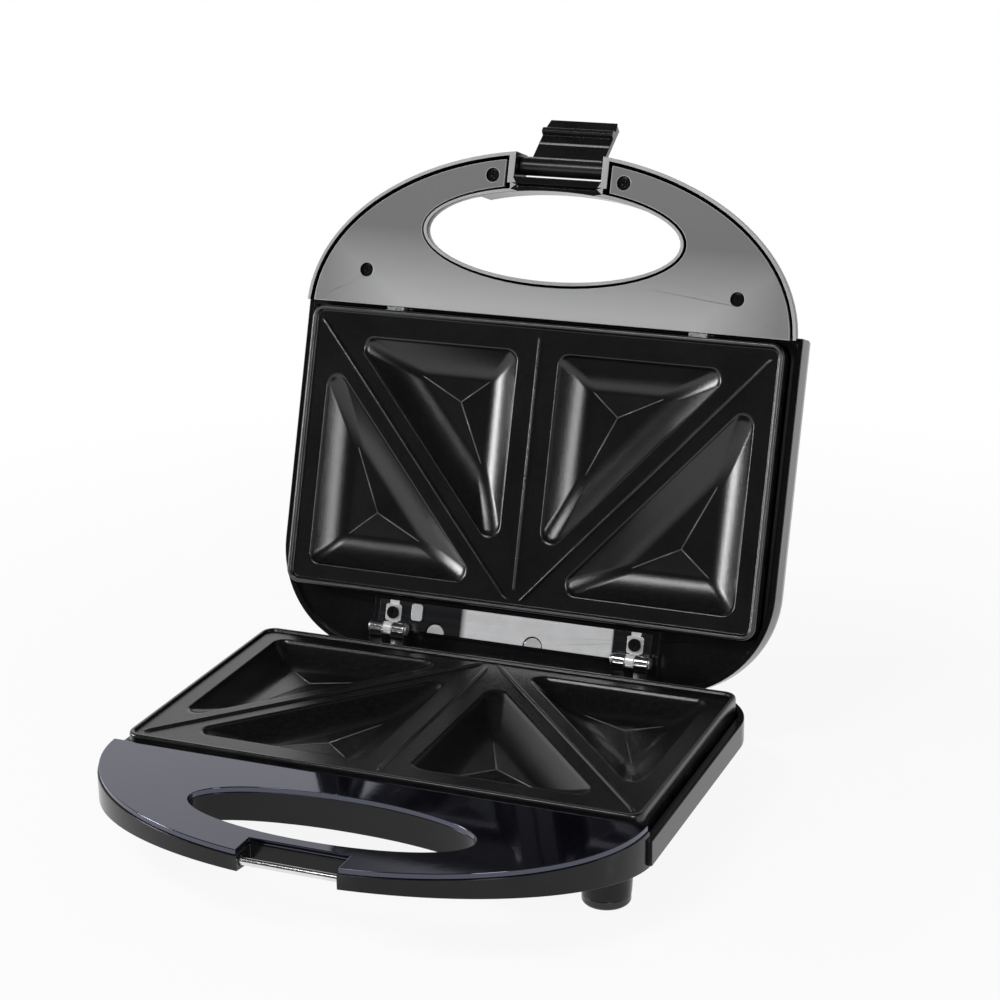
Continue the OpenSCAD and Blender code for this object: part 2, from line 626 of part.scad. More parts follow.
// A foot's leg starts behind the tray, and has a socket for the pad's plug
module leg() {
    top = tray_h + tray_t + end_gap;
    difference() {
        translate([0, 0, top]) cylinder(h = leg_h - top, r1 = pad_r + 1.4, r2 = pad_r + 0.2);
        translate([0, 0, leg_h - plug_len - 1]) cylinder(h = plug_len + 2, r = plug_r + run_gap);
    }
}
module foot() {
    translate([0, 0, leg_h]) cylinder(h = pad_h - pad_bevel, r = pad_r);
    translate([0, 0, ground_h - pad_bevel]) cylinder(h = pad_bevel, r1 = pad_r, r2 = pad_r - pad_bevel);
    translate([0, 0, leg_h - plug_len]) cylinder(h = plug_len + pad_h / 2, r = plug_r);
}
module at_front_feet() for (s = [-1, 1])
    translate([s * (half_w - front_foot_side), front_foot_in - housing_front, 0]) children();
module at_rear_feet() for (s = [-1, 1])
    translate([s * (half_w - rear_foot_side), lower_rear - rear_foot_in, 0]) children();

module lower_housing() color([0.05, 0.05, 0.06]) lower() difference() {
    union() {
        housing(lower_prof, lower_inner, lower_rear, lower_rear_r, lower_depth, cover_back_h,
            lower_handle_back, lower_handle_front);
        cover_pillars(cover_back_h, lower_handle_back, lower_handle_front);
        at_front_feet() leg();
        at_rear_feet() leg();
        // tube for the cable's gland
        translate([-gland_x, gland_face - gland_len + 1, gland_h]) rotate([-90, 0, 0])
            cylinder(h = gland_len - 1, r = gland_hub_r);
        // feet of the hinge brackets, on the ledge
        for (s = [-1, 1]) translate([s * hinge_x, bracket_screw_y, 0])
            pillar(deck_h + cut, deck_h + deck_t + 5, hub_r, screw_r + run_gap, 5.5);
    }
    translate([-gland_x, gland_face - gland_len, gland_h]) rotate([-90, 0, 0])
        cylinder(h = gland_len + 1, r = gland_r + run_gap);
    for (s = [-1, 1]) translate([s * hinge_x, bracket_screw_y, deck_h - cut])
        cylinder(h = 5.5, r = screw_r + run_gap);
    // sockets for the catch rod
    translate([0, -rod_y, rod_drop]) across_notch(rod_r + run_gap, socket_depth + 0.1);
    // holes for the cover's screws, sunk from below
    for (p = cover_boss_at, s = [-1, 1]) translate([s * p[0], -p[1], 0]) {
        cylinder(h = deep, r = screw_r + 0.2);
        translate([0, 0, lower_screw_seat]) cylinder(h = deep, r = screw_head_r + 0.3);
    }
}

module lower_handle_cover() color([0.32, 0.32, 0.38]) lower() difference() {
    translate([0, 0, cover_drop]) linear_extrude(cover_t) difference() {
        crescent(cover_lip, cover_front_y);
        finger_hole(0);
        notch(cover_lip);
    }
    for (p = cover_boss_at, s = [-1, 1]) translate([s * p[0], -p[1], cover_back_h - cover_screw_in - 0.2])
        cylinder(h = deep, r = screw_r + run_gap);
}

module catch_rod() color([0.8, 0.8, 0.82]) lower() translate([0, -rod_y, rod_drop])
    across_notch(rod_r, socket_depth);

module lower_plate() color([0.09, 0.09, 0.1]) lower() plate();
module lower_element() color([0.45, 0.44, 0.42]) lower() element();
module lower_reflector() color([0.75, 0.75, 0.75]) lower() reflector();
module lower_plate_screws() color([0.6, 0.6, 0.6]) lower() tray_screws();
module lower_cover_screws() color([0.3, 0.3, 0.3]) lower()
    for (p = cover_boss_at, s = [-1, 1]) translate([s * p[0], -p[1], lower_screw_seat + head_h])
        mirror([0, 0, 1]) screw(head_h + boss_wall + cover_screw_in);
module front_feet() color([0.08, 0.08, 0.08]) lower() at_front_feet() foot();
module rear_feet() color([0.08, 0.08, 0.08]) lower() at_rear_feet() foot();

// A bracket stands on the lower ledge and carries two knuckles around the hinge pin
module hinge_brackets() color([0.75, 0.75, 0.77]) standing() for (s = [-1, 1])
    translate([s * hinge_x, 0, 0]) {
        foot_y = bracket_screw_y - 3.3;
        upright = lower_rear - wall - end_gap - sheet_t;
        difference() {
            translate([-hinge_span, foot_y, -deck_h])
                cube([2 * hinge_span, upright + sheet_t - foot_y, sheet_t]);
            translate([0, bracket_screw_y, -deck_h - cut]) cylinder(h = 2, r = screw_r + 0.2);
        }
        for (k = [-1, 1]) difference() {
            x0 = k > 0 ? knuckle_x : -hinge_span;
            union() {
                translate([x0, upright, -deck_h]) cube([knuckle_w, sheet_t, deck_h + hinge_up]);
                translate([x0, hinge_back, hinge_up]) rotate([0, 90, 0])
                    cylinder(h = knuckle_w, r = knuckle_r);
            }
            translate([x0 - 1, hinge_back, hinge_up]) rotate([0, 90, 0])
                cylinder(h = knuckle_w + 2, r = bore_r);
        }
    }
module bracket_screws() color([0.5, 0.5, 0.5]) lower() for (s = [-1, 1])
    translate([s * hinge_x, bracket_screw_y, deck_h - sheet_t - head_h]) screw(head_h + sheet_t + 4.2);
module hinge_pins() color([0.7, 0.7, 0.72]) standing() for (s = [-1, 1])
    translate([s * hinge_x - hinge_span - 0.9, hinge_back, hinge_up]) rotate([0, 90, 0]) {
        cylinder(h = 2 * hinge_span + 1.8, r = hinge_pin_r);
        cylinder(h = 0.8, r = hinge_pin_r + 0.9);
        translate([0, 0, 2 * hinge_span + 1]) cylinder(h = 0.8, r = hinge_pin_r + 0.9);
    }

block_size = [28, 14, 9];
block_back = 20; // the block's back face, in front of the plates' back edge
module terminal_block() color([0.9, 0.88, 0.82]) lower()
    translate([-block_size[0] / 2, -block_back - block_size[1], lower_depth - wall - block_size[2]])
    difference() {
        cube(block_size);
        for (x = [5, 14, 23]) {
            translate([x, 3, -0.5]) cylinder(h = 5, r = 1.8);
            translate([x, -1, 5]) rotate([-90, 0, 0]) cylinder(h = block_size[1] + 2, r = 1.6);
        }
    }
fuse_r = 2.2;
fuse_len = 24;
fuse_at = [post_at[0] + 2, element_rear - 11];
module thermal_fuse() color([0.85, 0.82, 0.75]) lower()
    translate([-fuse_at[0], -fuse_at[1], tray_h + tray_t]) {
    translate([0, 0, fuse_r + seat_gap]) rotate([0, 90, 0]) cylinder(h = fuse_len, r = fuse_r);
    // its clip
    translate([fuse_len / 3, -fuse_len / 6, 0]) cube([fuse_len / 3, fuse_len / 3, 3]);
}
module cord_gland() color([0.07, 0.07, 0.07]) lower() translate([-gland_x, gland_face, gland_h])
    rotate([-90, 0, 0]) difference() {
        union() {
            cylinder(h = gland_flange, r = gland_hub_r - 0.4);
            translate([0, 0, -gland_len]) cylinder(h = gland_len + cut, r = gland_r);
        }
        translate([0, 0, -gland_len - 1]) cylinder(h = gland_len + gland_flange + 2, r = gland_bore_r);
    }

// ---- Upper half ----
// Solid strip between the notch and the finger hole, with a long blind slot in its face
bridge_wall = 1.5;
bridge_h = 6;
slot_depth = 3;
module bridge() translate([0, 0, upper_rim_h]) difference() {
    reach = notch_w / 2 + notch_wall / 2;
    slot_r = (notch_y - hole_y - hole_half_d - 2 * bridge_wall) / 2;
    slot_x = notch_w / 2 - bridge_wall - slot_r;
    slot_y = -notch_y + bridge_wall + slot_r;
    translate([-reach, -notch_y, 0]) cube([2 * reach, notch_y - hole_y, bridge_h]);
    translate([0, 0, -cut]) linear_extrude(deep) finger_hole(0);
    for (s = [-1, 1]) translate([s * slot_x, slot_y, -cut]) cylinder(h = slot_depth + cut, r = slot_r);
    translate([-slot_x, slot_y - slot_r, -cut]) cube([2 * slot_x, 2 * slot_r, slot_depth + cut]);
}
crown_n = 7;
function crown(h0, h1, inset) = [for (i = [0:crown_n]) let (t = 90 * i / crown_n)
    [h0 + (h1 - h0) * sin(t), inset * (1 - cos(t))]];
upper_prof = concat([[rim_drop, 0]], crown(rim_to_band, upper_height, upper_taper));
upper_inner = concat([[rim_drop - 1, 0]],
    crown(rim_to_band, upper_height - wall, upper_taper - wall));

module upper_housing() color([0.05, 0.05, 0.06]) upper() difference() {
    union() {
        housing(upper_prof, upper_inner, upper_rear, upper_rear_r, upper_height, upper_rim_h,
            upper_handle_back, upper_handle_front, curved = true);
        cover_pillars(cover_well_h + seat_gap, upper_handle_back, upper_handle_front);
        bridge();
        // pillars under the hinge strap, on the ledge
        for (s = [-1, 1]) translate([s * hinge_x, strap_screw_y, 0])
            pillar(deck_h + deck_t - cut, deck_h + deck_t + 5, hub_r, screw_r + run_gap, 5);
    }
    for (s = [-1, 1]) translate([s * hinge_x, strap_screw_y, deck_h - cut])
        cylinder(h = 6, r = screw_r + run_gap);
    for (p = cover_boss_at, s = [-1, 1]) translate([s * p[0], -p[1], cover_well_h])
        cylinder(h = 5, r = screw_r + run_gap);
    // sockets for the latch's pin
    translate([0, -pivot_y, pivot_h]) across_notch(latch_pin_r + run_gap, socket_depth + 0.1);
    // holes for the two indicator lenses
    for (s = [-1, 1]) translate([s * lens_pitch / 2, -lens_v, upper_height - wall - 4])
        cylinder(h = wall + 8, r = lens_r + run_gap);
}

well_r = screw_head_r + 0.3;
well_depth = 2.6;
cover_well_h = cover_drop + well_depth + 1.4;
module upper_handle_cover() color([0.55, 0.55, 0.56]) upper() difference() {
    union() {
        translate([0, 0, cover_drop]) linear_extrude(cover_t) difference() {
            crescent(handle_wall + groove_w, cover_front_y);
            finger_hole(handle_wall + groove_w - 0.4);
            translate([-notch_w / 2 - notch_wall - groove_w, -handle_front])
                square([notch_w + 2 * (notch_wall + groove_w), handle_front - hole_y]);
        }
        for (p = cover_boss_at, s = [-1, 1]) translate([s * p[0], -p[1], cover_drop])
            cylinder(h = cover_well_h - cover_drop, r = well_r + 1.2);
    }
    for (p = cover_boss_at, s = [-1, 1]) translate([s * p[0], -p[1], 0]) {
        cylinder(h = cover_drop + well_depth, r = well_r);
        cylinder(h = deep, r = screw_r + 0.2);
    }
}
module cover_screws() color([0.1, 0.1, 0.1]) upper() for (p = cover_boss_at, s = [-1, 1])
    translate([s * p[0], -p[1], cover_drop + well_depth - head_h]) screw(head_h + 5.4);

module upper_plate() color([0.09, 0.09, 0.1]) upper() plate();
tab_w = 8;
tab_x = 70;
tab_gap = 0.2;
module plate_tabs() color([0.4, 0.4, 0.4]) upper() for (s = [-1, 1])
    translate([s * tab_x - tab_w / 2, -cover_front_y + tab_gap, cover_drop + 0.6])
    cube([tab_w, cover_gap - tab_gap, 4]);
module upper_element() color([0.45, 0.44, 0.42]) upper() element();
module upper_reflector() color([0.75, 0.75, 0.75]) upper() reflector();
module upper_plate_screws() color([0.6, 0.6, 0.6]) upper() tray_screws();

// Moulded cover behind the upper plate, on which the hinge strap lies
strap_half = hinge_x + 7;
ledge_half = strap_half + 3;
strap_screw_y = hinge_back - 6.8;
module rear_ledge() color([0.06, 0.06, 0.07]) upper() difference() {
    union() {
        translate([-ledge_half, 1, strap_h + sheet_t])
            cube([2 * ledge_half, strap_back, deck_h - strap_h - sheet_t]);
        translate([-ledge_half, 1, deck_h - 1]) cube([2 * ledge_half, upper_rear - wall - 1.4, 1]);
    }
    for (s = [-1, 1]) translate([s * hinge_x, strap_screw_y, 0]) cylinder(h = deep, r = screw_r + 0.2);
}
cut_out_r = 4.6; // of the two half-round openings in the strap's edge
cut_out_pitch = 46;
cut_out_left = 13;
module hinge_strap() color([0.8, 0.8, 0.82]) upper() difference() {
    union() {
        translate([-strap_half, 2.6, strap_h]) cube([2 * strap_half, strap_back - 2.6, sheet_t]);
        for (s = [-1, 1]) translate([s * hinge_x - mid_knuckle_w / 2, 0, 0]) {
            translate([0, hinge_back, hinge_up]) rotate([0, 90, 0])
                cylinder(h = mid_knuckle_w, r = knuckle_r);
            translate([0, hinge_back - knuckle_r, hinge_up])
                cube([mid_knuckle_w, sheet_t, strap_h + sheet_t - hinge_up]);
        }
    }
    for (s = [-1, 1]) {
        translate([s * hinge_x - deep / 4, hinge_back, hinge_up]) rotate([0, 90, 0])
            cylinder(h = deep / 2, r = bore_r);
        translate([s * hinge_x, strap_screw_y, 0]) cylinder(h = deep, r = screw_r + 0.2);
        translate([s * cut_out_pitch / 2 - cut_out_left, strap_back, 0]) cylinder(h = deep, r = cut_out_r);
    }
}
module strap_screws() color([0.2, 0.2, 0.2]) upper() for (s = [-1, 1])
    translate([s * hinge_x, strap_screw_y, strap_h - head_h]) screw(deck_h - strap_h + head_h + 3);

disc_r = 8;
disc_h = 5;
disc_at = [element_leg_x + 20, element_rear - 3];
module thermostat() color([0.8, 0.78, 0.7]) upper() translate([disc_at[0], -disc_at[1], tray_h + tray_t]) {
    cylinder(h = disc_h, r = disc_r);
    translate([0, 0, disc_h]) cylinder(h = 2, r = 4.5);
    // its two terminals
    for (s = [-1, 1]) translate([s * 5 - 0.4, -2, disc_h - seat_gap]) cube([0.8, 4, 5]);
}
module lens() difference() {
    union() {
        translate([0, 0, upper_height - wall - 7]) cylinder(h = wall + 7.8, r = lens_r);
        translate([0, 0, upper_height - wall - 1.3]) cylinder(h = 1.2, r = lens_r + 1.6);
    }
    translate([0, 0, upper_height - wall - 8]) cylinder(h = 8.5, r = lens_r - 1);
}
module power_lens() color([0.75, 0.08, 0.06]) upper() translate([-lens_pitch / 2, -lens_v, 0]) lens();
module ready_lens() color([0.1, 0.6, 0.15]) upper() translate([lens_pitch / 2, -lens_v, 0]) lens();
module indicator_lamps() color([0.95, 0.9, 0.8]) upper() for (s = [-1, 1])
    translate([s * lens_pitch / 2, -lens_v, upper_height - wall - 12]) cylinder(h = 12, r = lens_r - 1.1);

module latch_pin() color([0.7, 0.7, 0.72]) upper() translate([0, -pivot_y, pivot_h])
    across_notch(latch_pin_r, socket_depth);

// ---- Latch ----
barrel_half = notch_w / 2 - end_gap;
tip_slant = 2.4;
module latch() color([0.06, 0.06, 0.07]) upper() translate([0, -pivot_y, pivot_h])
    rotate([latch_rest_deg, 0, 0]) difference() {
        union() {
            translate([-latch_w / 2, 0, 0]) rotate([90, 0, 90]) linear_extrude(latch_w) polygon(latch_side);
            translate([-barrel_half, 0, 0]) rotate([0, 90, 0]) cylinder(h = 2 * barrel_half, r = barrel_r);
            // grip ribs
            for (u = [barrel_r + 3, barrel_r + 8]) translate([-latch_w / 2 + 1, u, latch_face - cut])
                cube([latch_w - 2, 0.8, 0.5]);
        }
        translate([-notch_w / 2, 0, 0]) rotate([0, 90, 0])
            cylinder(h = notch_w, r = latch_pin_r + run_gap);
        // the tip's slanting corners
        for (s = [0, 1]) mirror([s, 0, 0]) translate([latch_w / 2 - tip_slant, latch_len, -deep / 2])
            linear_extrude(deep)
            polygon([[0, 0], [0, 1], [tip_slant + 1, 1], [tip_slant + 1, -2 * tip_slant - 2]]);
    }

lower_housing();
lower_handle_cover();
catch_rod();
lower_plate();
lower_element();
lower_reflector();
lower_plate_screws();
lower_cover_screws();
front_feet();
rear_feet();
hinge_brackets();
bracket_screws();
hinge_pins();
terminal_block();
thermal_fuse();
cord_gland();
upper_housing();
upper_handle_cover();
cover_screws();
upper_plate();
plate_tabs();
upper_element();
upper_reflector();
upper_plate_screws();
rear_ledge();
hinge_strap();
strap_screws();
thermostat();
power_lens();
ready_lens();
indicator_lamps();
latch_pin();
latch();
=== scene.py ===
"""Looks of a two-slice sandwich toaster that stands open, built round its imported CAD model."""
import json
import math

import bmesh
import bpy
from mathutils import Matrix, Vector


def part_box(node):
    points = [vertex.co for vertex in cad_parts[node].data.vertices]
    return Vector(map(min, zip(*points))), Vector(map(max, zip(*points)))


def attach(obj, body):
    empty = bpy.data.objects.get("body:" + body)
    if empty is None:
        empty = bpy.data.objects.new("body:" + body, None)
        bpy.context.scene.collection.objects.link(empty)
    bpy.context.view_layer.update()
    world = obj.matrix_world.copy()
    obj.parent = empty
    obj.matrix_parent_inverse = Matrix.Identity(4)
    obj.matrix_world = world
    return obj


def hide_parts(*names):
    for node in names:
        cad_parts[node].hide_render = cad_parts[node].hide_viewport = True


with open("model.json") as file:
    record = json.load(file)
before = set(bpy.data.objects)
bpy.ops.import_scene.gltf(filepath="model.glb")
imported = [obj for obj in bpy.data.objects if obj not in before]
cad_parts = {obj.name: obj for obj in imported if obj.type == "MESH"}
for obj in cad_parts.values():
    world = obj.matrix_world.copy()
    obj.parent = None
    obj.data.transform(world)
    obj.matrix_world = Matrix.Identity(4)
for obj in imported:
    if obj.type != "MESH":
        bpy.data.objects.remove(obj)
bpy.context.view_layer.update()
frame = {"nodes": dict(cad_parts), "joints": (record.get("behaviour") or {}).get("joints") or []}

# ---------------------------------------------------------------------------------------------------
# Camera. It stands where the lid plate's four corners and the base's edges say that the photographer
# stood: to the right, a little above the lid's middle, with a long lens and a hair of tilt.
camera_azimuth = math.radians(22.29)
camera_height_angle = math.radians(18.42)
camera_tilt = math.radians(-0.755)
camera_back = Vector((
    math.sin(camera_azimuth) * math.cos(camera_height_angle),
    -math.cos(camera_azimuth) * math.cos(camera_height_angle),
    math.sin(camera_height_angle)))
camera_level = Vector((math.cos(camera_azimuth), math.sin(camera_azimuth), 0))
camera_rise = camera_back.cross(camera_level)
camera_right = camera_level * math.cos(camera_tilt) + camera_rise * math.sin(camera_tilt)
camera_up = camera_rise * math.cos(camera_tilt) - camera_level * math.sin(camera_tilt)
camera_data = bpy.data.cameras.new("photo_camera")
camera_data.sensor_fit = "HORIZONTAL"
camera_data.sensor_width = 36
camera_data.lens = 87.85
camera_data.clip_start = 0.05
camera_data.clip_end = 60
camera = bpy.data.objects.new("photo_camera", camera_data)
lower_plate_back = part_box("lower_plate")[1]
camera_place = Vector((0.3709, lower_plate_back.y - 0.8964, lower_plate_back.z + 0.3943))
camera.matrix_world = Matrix.Translation(camera_place) @ Matrix(
    (camera_right, camera_up, camera_back)).transposed().to_4x4()
bpy.context.scene.collection.objects.link(camera)
bpy.context.scene.camera = camera

# ---------------------------------------------------------------------------------------------------
# Studio. A white table runs back into a white surround; ahead of the toaster the room is dimmer, so
# that black mouldings stay black. Three small soft boxes stand to the left, beside the camera and above it.


def add_node(tree, kind, inputs=None, **settings):
    """One shader node: its sockets take plain values or other nodes' outputs."""
    made = tree.nodes.new(kind)
    for name, value in settings.items():
        setattr(made, name, value)
    for name, value in (inputs or {}).items():
        if isinstance(value, bpy.types.NodeSocket):
            tree.links.new(value, made.inputs[name])
        else:
            made.inputs[name].default_value = value
    return made


def maths(tree, operation, first, second=0.0, clamp=False):
    """The result of one sum."""
    made = add_node(tree, "ShaderNodeMath", {0: first, 1: second}, operation=operation, use_clamp=clamp)
    return made.outputs[0]


def spread(tree, value, low, high, from_low=0.0, from_high=1.0):
    """A value moved from one range to another, and held inside it."""
    made = add_node(tree, "ShaderNodeMapRange", {
        "Value": value, "From Min": from_low, "From Max": from_high, "To Min": low, "To Max": high})
    return made.outputs["Result"]


def blend_colours(tree, share, first, second):
    """The first colour where share is 0, the second where it is 1."""
    made = add_node(tree, "ShaderNodeMix", data_type="RGBA")
    for socket, value in ((made.inputs[0], share), (made.inputs[6], first), (made.inputs[7], second)):
        if isinstance(value, bpy.types.NodeSocket):
            tree.links.new(value, socket)
        elif socket == made.inputs[0]:
            socket.default_value = value
        else:
            socket.default_value = (*value, 1)
    return made.outputs[2]


def seen_straight_or_mirrored(tree):
    """1 for rays from the camera, or from a mirror or glass; 0 for rays that light things."""
    path = add_node(tree, "ShaderNodeLightPath")
    shiny = maths(tree, "ADD", path.outputs["Is Glossy Ray"], path.outputs["Is Transmission Ray"])
    return maths(tree, "ADD", path.outputs["Is Camera Ray"], shiny, clamp=True)


world = bpy.data.worlds.new("white_studio")
bpy.context.scene.world = world
world.use_nodes = True
world.node_tree.nodes.clear()
room = world.node_tree
room_spot = add_node(room, "ShaderNodeTexCoord").outputs["Generated"]
room_direction = add_node(room, "ShaderNodeSeparateXYZ", {0: room_spot}).outputs
ahead = spread(room, room_direction["Y"], 1, 0, from_low=-0.3, from_high=0.25)
over_table = spread(room, room_direction["Z"], 0, 1, from_low=-0.05, from_high=0.12)
overhead = spread(room, room_direction["Z"], 0, 1, from_low=0.4, from_high=0.75)
dimmed = maths(room, "MAXIMUM", maths(room, "MULTIPLY", ahead, over_table), overhead)
room_colour = blend_colours(room, dimmed, (1, 1, 1), (0.03, 0.032, 0.036))
room_shown = add_node(room, "ShaderNodeBackground", {"Color": room_colour, "Strength": 1})
room_lit = add_node(room, "ShaderNodeBackground", {"Color": (0.96, 0.98, 1, 1), "Strength": 0.3})
room_mix = add_node(room, "ShaderNodeMixShader", {
    0: seen_straight_or_mirrored(room), 1: room_lit.outputs[0], 2: room_shown.outputs[0]})
add_node(room, "ShaderNodeOutputWorld", {"Surface": room_mix.outputs[0]})

table_half = 12
table_corners = ((-1, -1), (1, -1), (1, 1), (-1, 1))
shadow_reach = 0.25
table_fade = 0.6
table_mesh = bpy.data.meshes.new("white_table")
table_mesh.from_pydata([(x * table_half, y * table_half, 0) for x, y in table_corners], [], [(0, 1, 2, 3)])
table = bpy.data.objects.new("white_table", table_mesh)
bpy.context.scene.collection.objects.link(table)
table_white = bpy.data.materials.new("white_table")
table_white.use_nodes = True
table_white.node_tree.nodes.clear()
tree = table_white.node_tree
table_matt = add_node(tree, "ShaderNodeBsdfDiffuse", {"Color": (0.9, 0.9, 0.9, 1)})
table_glow = add_node(tree, "ShaderNodeEmission", {"Color": (1, 1, 1, 1), "Strength": 1})
spot = add_node(tree, "ShaderNodeVectorMath", {
    0: add_node(tree, "ShaderNodeTexCoord").outputs["Object"]}, operation="LENGTH").outputs["Value"]
away = spread(tree, spot, 0.9, 1, from_low=shadow_reach, from_high=table_fade)
table_share = maths(tree, "MULTIPLY", seen_straight_or_mirrored(tree), away)
table_mix = add_node(tree, "ShaderNodeMixShader", {
    0: table_share, 1: table_matt.outputs[0], 2: table_glow.outputs[0]})
add_node(tree, "ShaderNodeOutputMaterial", {"Surface": table_mix.outputs[0]})
table_mesh.materials.append(table_white)


def soft_box(name, place, aim, width, height, watts):
    """A rectangular lamp that faces one point."""
    data = bpy.data.lights.new(name, "AREA")
    data.shape = "RECTANGLE"
    data.size = width
    data.size_y = height
    data.energy = watts
    lamp = bpy.data.objects.new(name, data)
    lamp.location = place
    lamp.rotation_euler = (Vector(aim) - Vector(place)).to_track_quat("-Z", "Y").to_euler()
    bpy.context.scene.collection.objects.link(lamp)


toaster_middle = (0, 0.02, 0.12)
soft_box("left_soft_box", (-1.5, -0.6, 0.45), toaster_middle, 0.35, 0.6, 17)
soft_box("right_soft_box", (0.8, -1.2, 0.62), toaster_middle, 0.3, 0.5, 7)
soft_box("top_soft_box", (-0.39, -1.06, 1.4), toaster_middle, 0.5, 0.3, 8)

# ---------------------------------------------------------------------------------------------------
# Lower housing. A pan of glossy black ABS, injection moulded in one piece with the crescent handle's
# underside. It stands on four feet, and the heater, plate and handle cover are let into it.


def new_group(name, takes, gives):
    """An empty shader group with named sockets: takes holds (name, start value), gives holds names."""
    made = bpy.data.node_groups.new(name, "ShaderNodeTree")
    for label, value in takes:
        made.interface.new_socket(label, in_out="INPUT", socket_type="NodeSocketFloat").default_value = value
    for label in gives:
        made.interface.new_socket(label, in_out="OUTPUT", socket_type="NodeSocketFloat")
    return made, made.nodes.new("NodeGroupInput"), made.nodes.new("NodeGroupOutput")


def use_group(tree, group, **values):
    """One use of a shader group, with this material's own values."""
    made = tree.nodes.new("ShaderNodeGroup")
    made.node_tree = group
    for label, value in values.items():
        made.inputs[label.replace("_", " ")].default_value = value
    return made.outputs


def noise(tree, scale, detail=2.0, where=None):
    """Soft noise, 0 to 1, at so many lumps a metre."""
    if where is None:
        where = add_node(tree, "ShaderNodeTexCoord").outputs["Object"]
    made = add_node(tree, "ShaderNodeTexNoise", {"Vector": where, "Scale": scale, "Detail": detail})
    return made.outputs["Fac"]


# Moulded or cast skin: a fine pebble for the bump, and slow clouds for gloss and colour.
cast_skin, skin_in, skin_out = new_group(
    "cast_skin", (("Pebbles a metre", 2500.0), ("Clouds a metre", 30.0), ("Flow", 0.3)),
    ("Height", "Clouds"))
pebbles = noise(cast_skin, skin_in.outputs["Pebbles a metre"], 3)
waves = noise(cast_skin, skin_in.outputs["Clouds a metre"], 1)
flow_marks = maths(cast_skin, "MULTIPLY", waves, skin_in.outputs["Flow"])
cast_skin.links.new(maths(cast_skin, "ADD", flow_marks, pebbles), skin_out.inputs["Height"])
cloudy = noise(cast_skin, skin_in.outputs["Clouds a metre"], 4)
cast_skin.links.new(
    spread(cast_skin, cloudy, 0, 1, from_low=0.3, from_high=0.7), skin_out.inputs["Clouds"])

# Handled edges: corners that hands and cloths have rubbed brighter, in patches. A flat face's
# pointiness is 0.5, so wear starts a little above that.
rubbed_edges, rub_in, rub_out = new_group(
    "rubbed_edges", (("Reach", 0.04), ("Patches a metre", 90.0)), ("Wear",))
edge_pointiness = 0.53
pointiness = add_node(rubbed_edges, "ShaderNodeNewGeometry").outputs["Pointiness"]
sharper = maths(rubbed_edges, "SUBTRACT", pointiness, edge_pointiness)
raised = maths(rubbed_edges, "DIVIDE", sharper, rub_in.outputs["Reach"], clamp=True)
patches = noise(rubbed_edges, rub_in.outputs["Patches a metre"], 4)
patchy = spread(rubbed_edges, patches, 0.25, 1, from_low=0.35, from_high=0.65)
rubbed_edges.links.new(maths(rubbed_edges, "MULTIPLY", raised, patchy), rub_out.inputs["Wear"])

# Dust: a thin grey film, thicker on what faces up.
dust_film, dust_in, dust_out = new_group("dust_film", (("Amount", 0.1),), ("Film",))
grains_a_metre = 700
dusty_normal = add_node(dust_film, "ShaderNodeNewGeometry").outputs["Normal"]
upward = add_node(dust_film, "ShaderNodeSeparateXYZ", {0: dusty_normal}).outputs["Z"]
settled = spread(dust_film, upward, 0.15, 1)
grains = spread(dust_film, noise(dust_film, grains_a_metre, 6), 0, 1, from_low=0.42, from_high=0.75)
lying = maths(dust_film, "MULTIPLY", settled, grains)
dust_film.links.new(
    maths(dust_film, "MULTIPLY", dust_in.outputs["Amount"], lying), dust_out.inputs["Film"])


def new_material(name):
    """An empty material with its Principled shader wired to the output."""
    made = bpy.data.materials.new(name)
    made.use_nodes = True
    made.node_tree.nodes.clear()
    shader = made.node_tree.nodes.new("ShaderNodeBsdfPrincipled")
    add_node(made.node_tree, "ShaderNodeOutputMaterial", {"Surface": shader.outputs[0]})
    return made, made.node_tree, shader


def set_shader(tree, shader, **values):
    """Sets or links sockets of a Principled shader, named with _ for a space."""
    for label, value in values.items():
        socket = shader.inputs[label.replace("_", " ")]
        if isinstance(value, bpy.types.NodeSocket):
            tree.links.new(value, socket)
        else:
            socket.default_value = value


def bump(tree, height, strength, distance=0.0002):
    """A bumped normal from a height."""
    return add_node(tree, "ShaderNodeBump", {
        "Height": height, "Strength": strength, "Distance": distance}).outputs["Normal"]


moulding_worn_share = 0.6
dust_grey = (0.35, 0.34, 0.33)
dust_roughness = 1.5


def moulded(name, dark, light, smooth, rough, pebbles, clouds, flow, strength, worn, **more):
    """A moulded plastic: clouds of colour and gloss, a pebbled bump, rubbed edges and a film of dust."""
    made, tree, shader = new_material(name)
    skin = use_group(tree, cast_skin, Pebbles_a_metre=pebbles, Clouds_a_metre=clouds, Flow=flow)
    wear = use_group(tree, rubbed_edges, Reach=0.06)["Wear"]
    film = use_group(tree, dust_film, Amount=0.015)["Film"]
    colour = blend_colours(tree, skin["Clouds"], dark, light)
    colour = blend_colours(tree, maths(tree, "MULTIPLY", wear, moulding_worn_share), colour, worn)
    colour = blend_colours(tree, film, colour, dust_grey)
    gloss = spread(tree, skin["Clouds"], smooth, rough)
    dulled = maths(tree, "ADD", gloss, maths(tree, "MULTIPLY", film, dust_roughness))
    set_shader(tree, shader, Base_Color=colour, Roughness=dulled,
               Normal=bump(tree, skin["Height"], strength), **more)
    return made


sharpest_kept = math.radians(35)
weld_gap = 2e-6


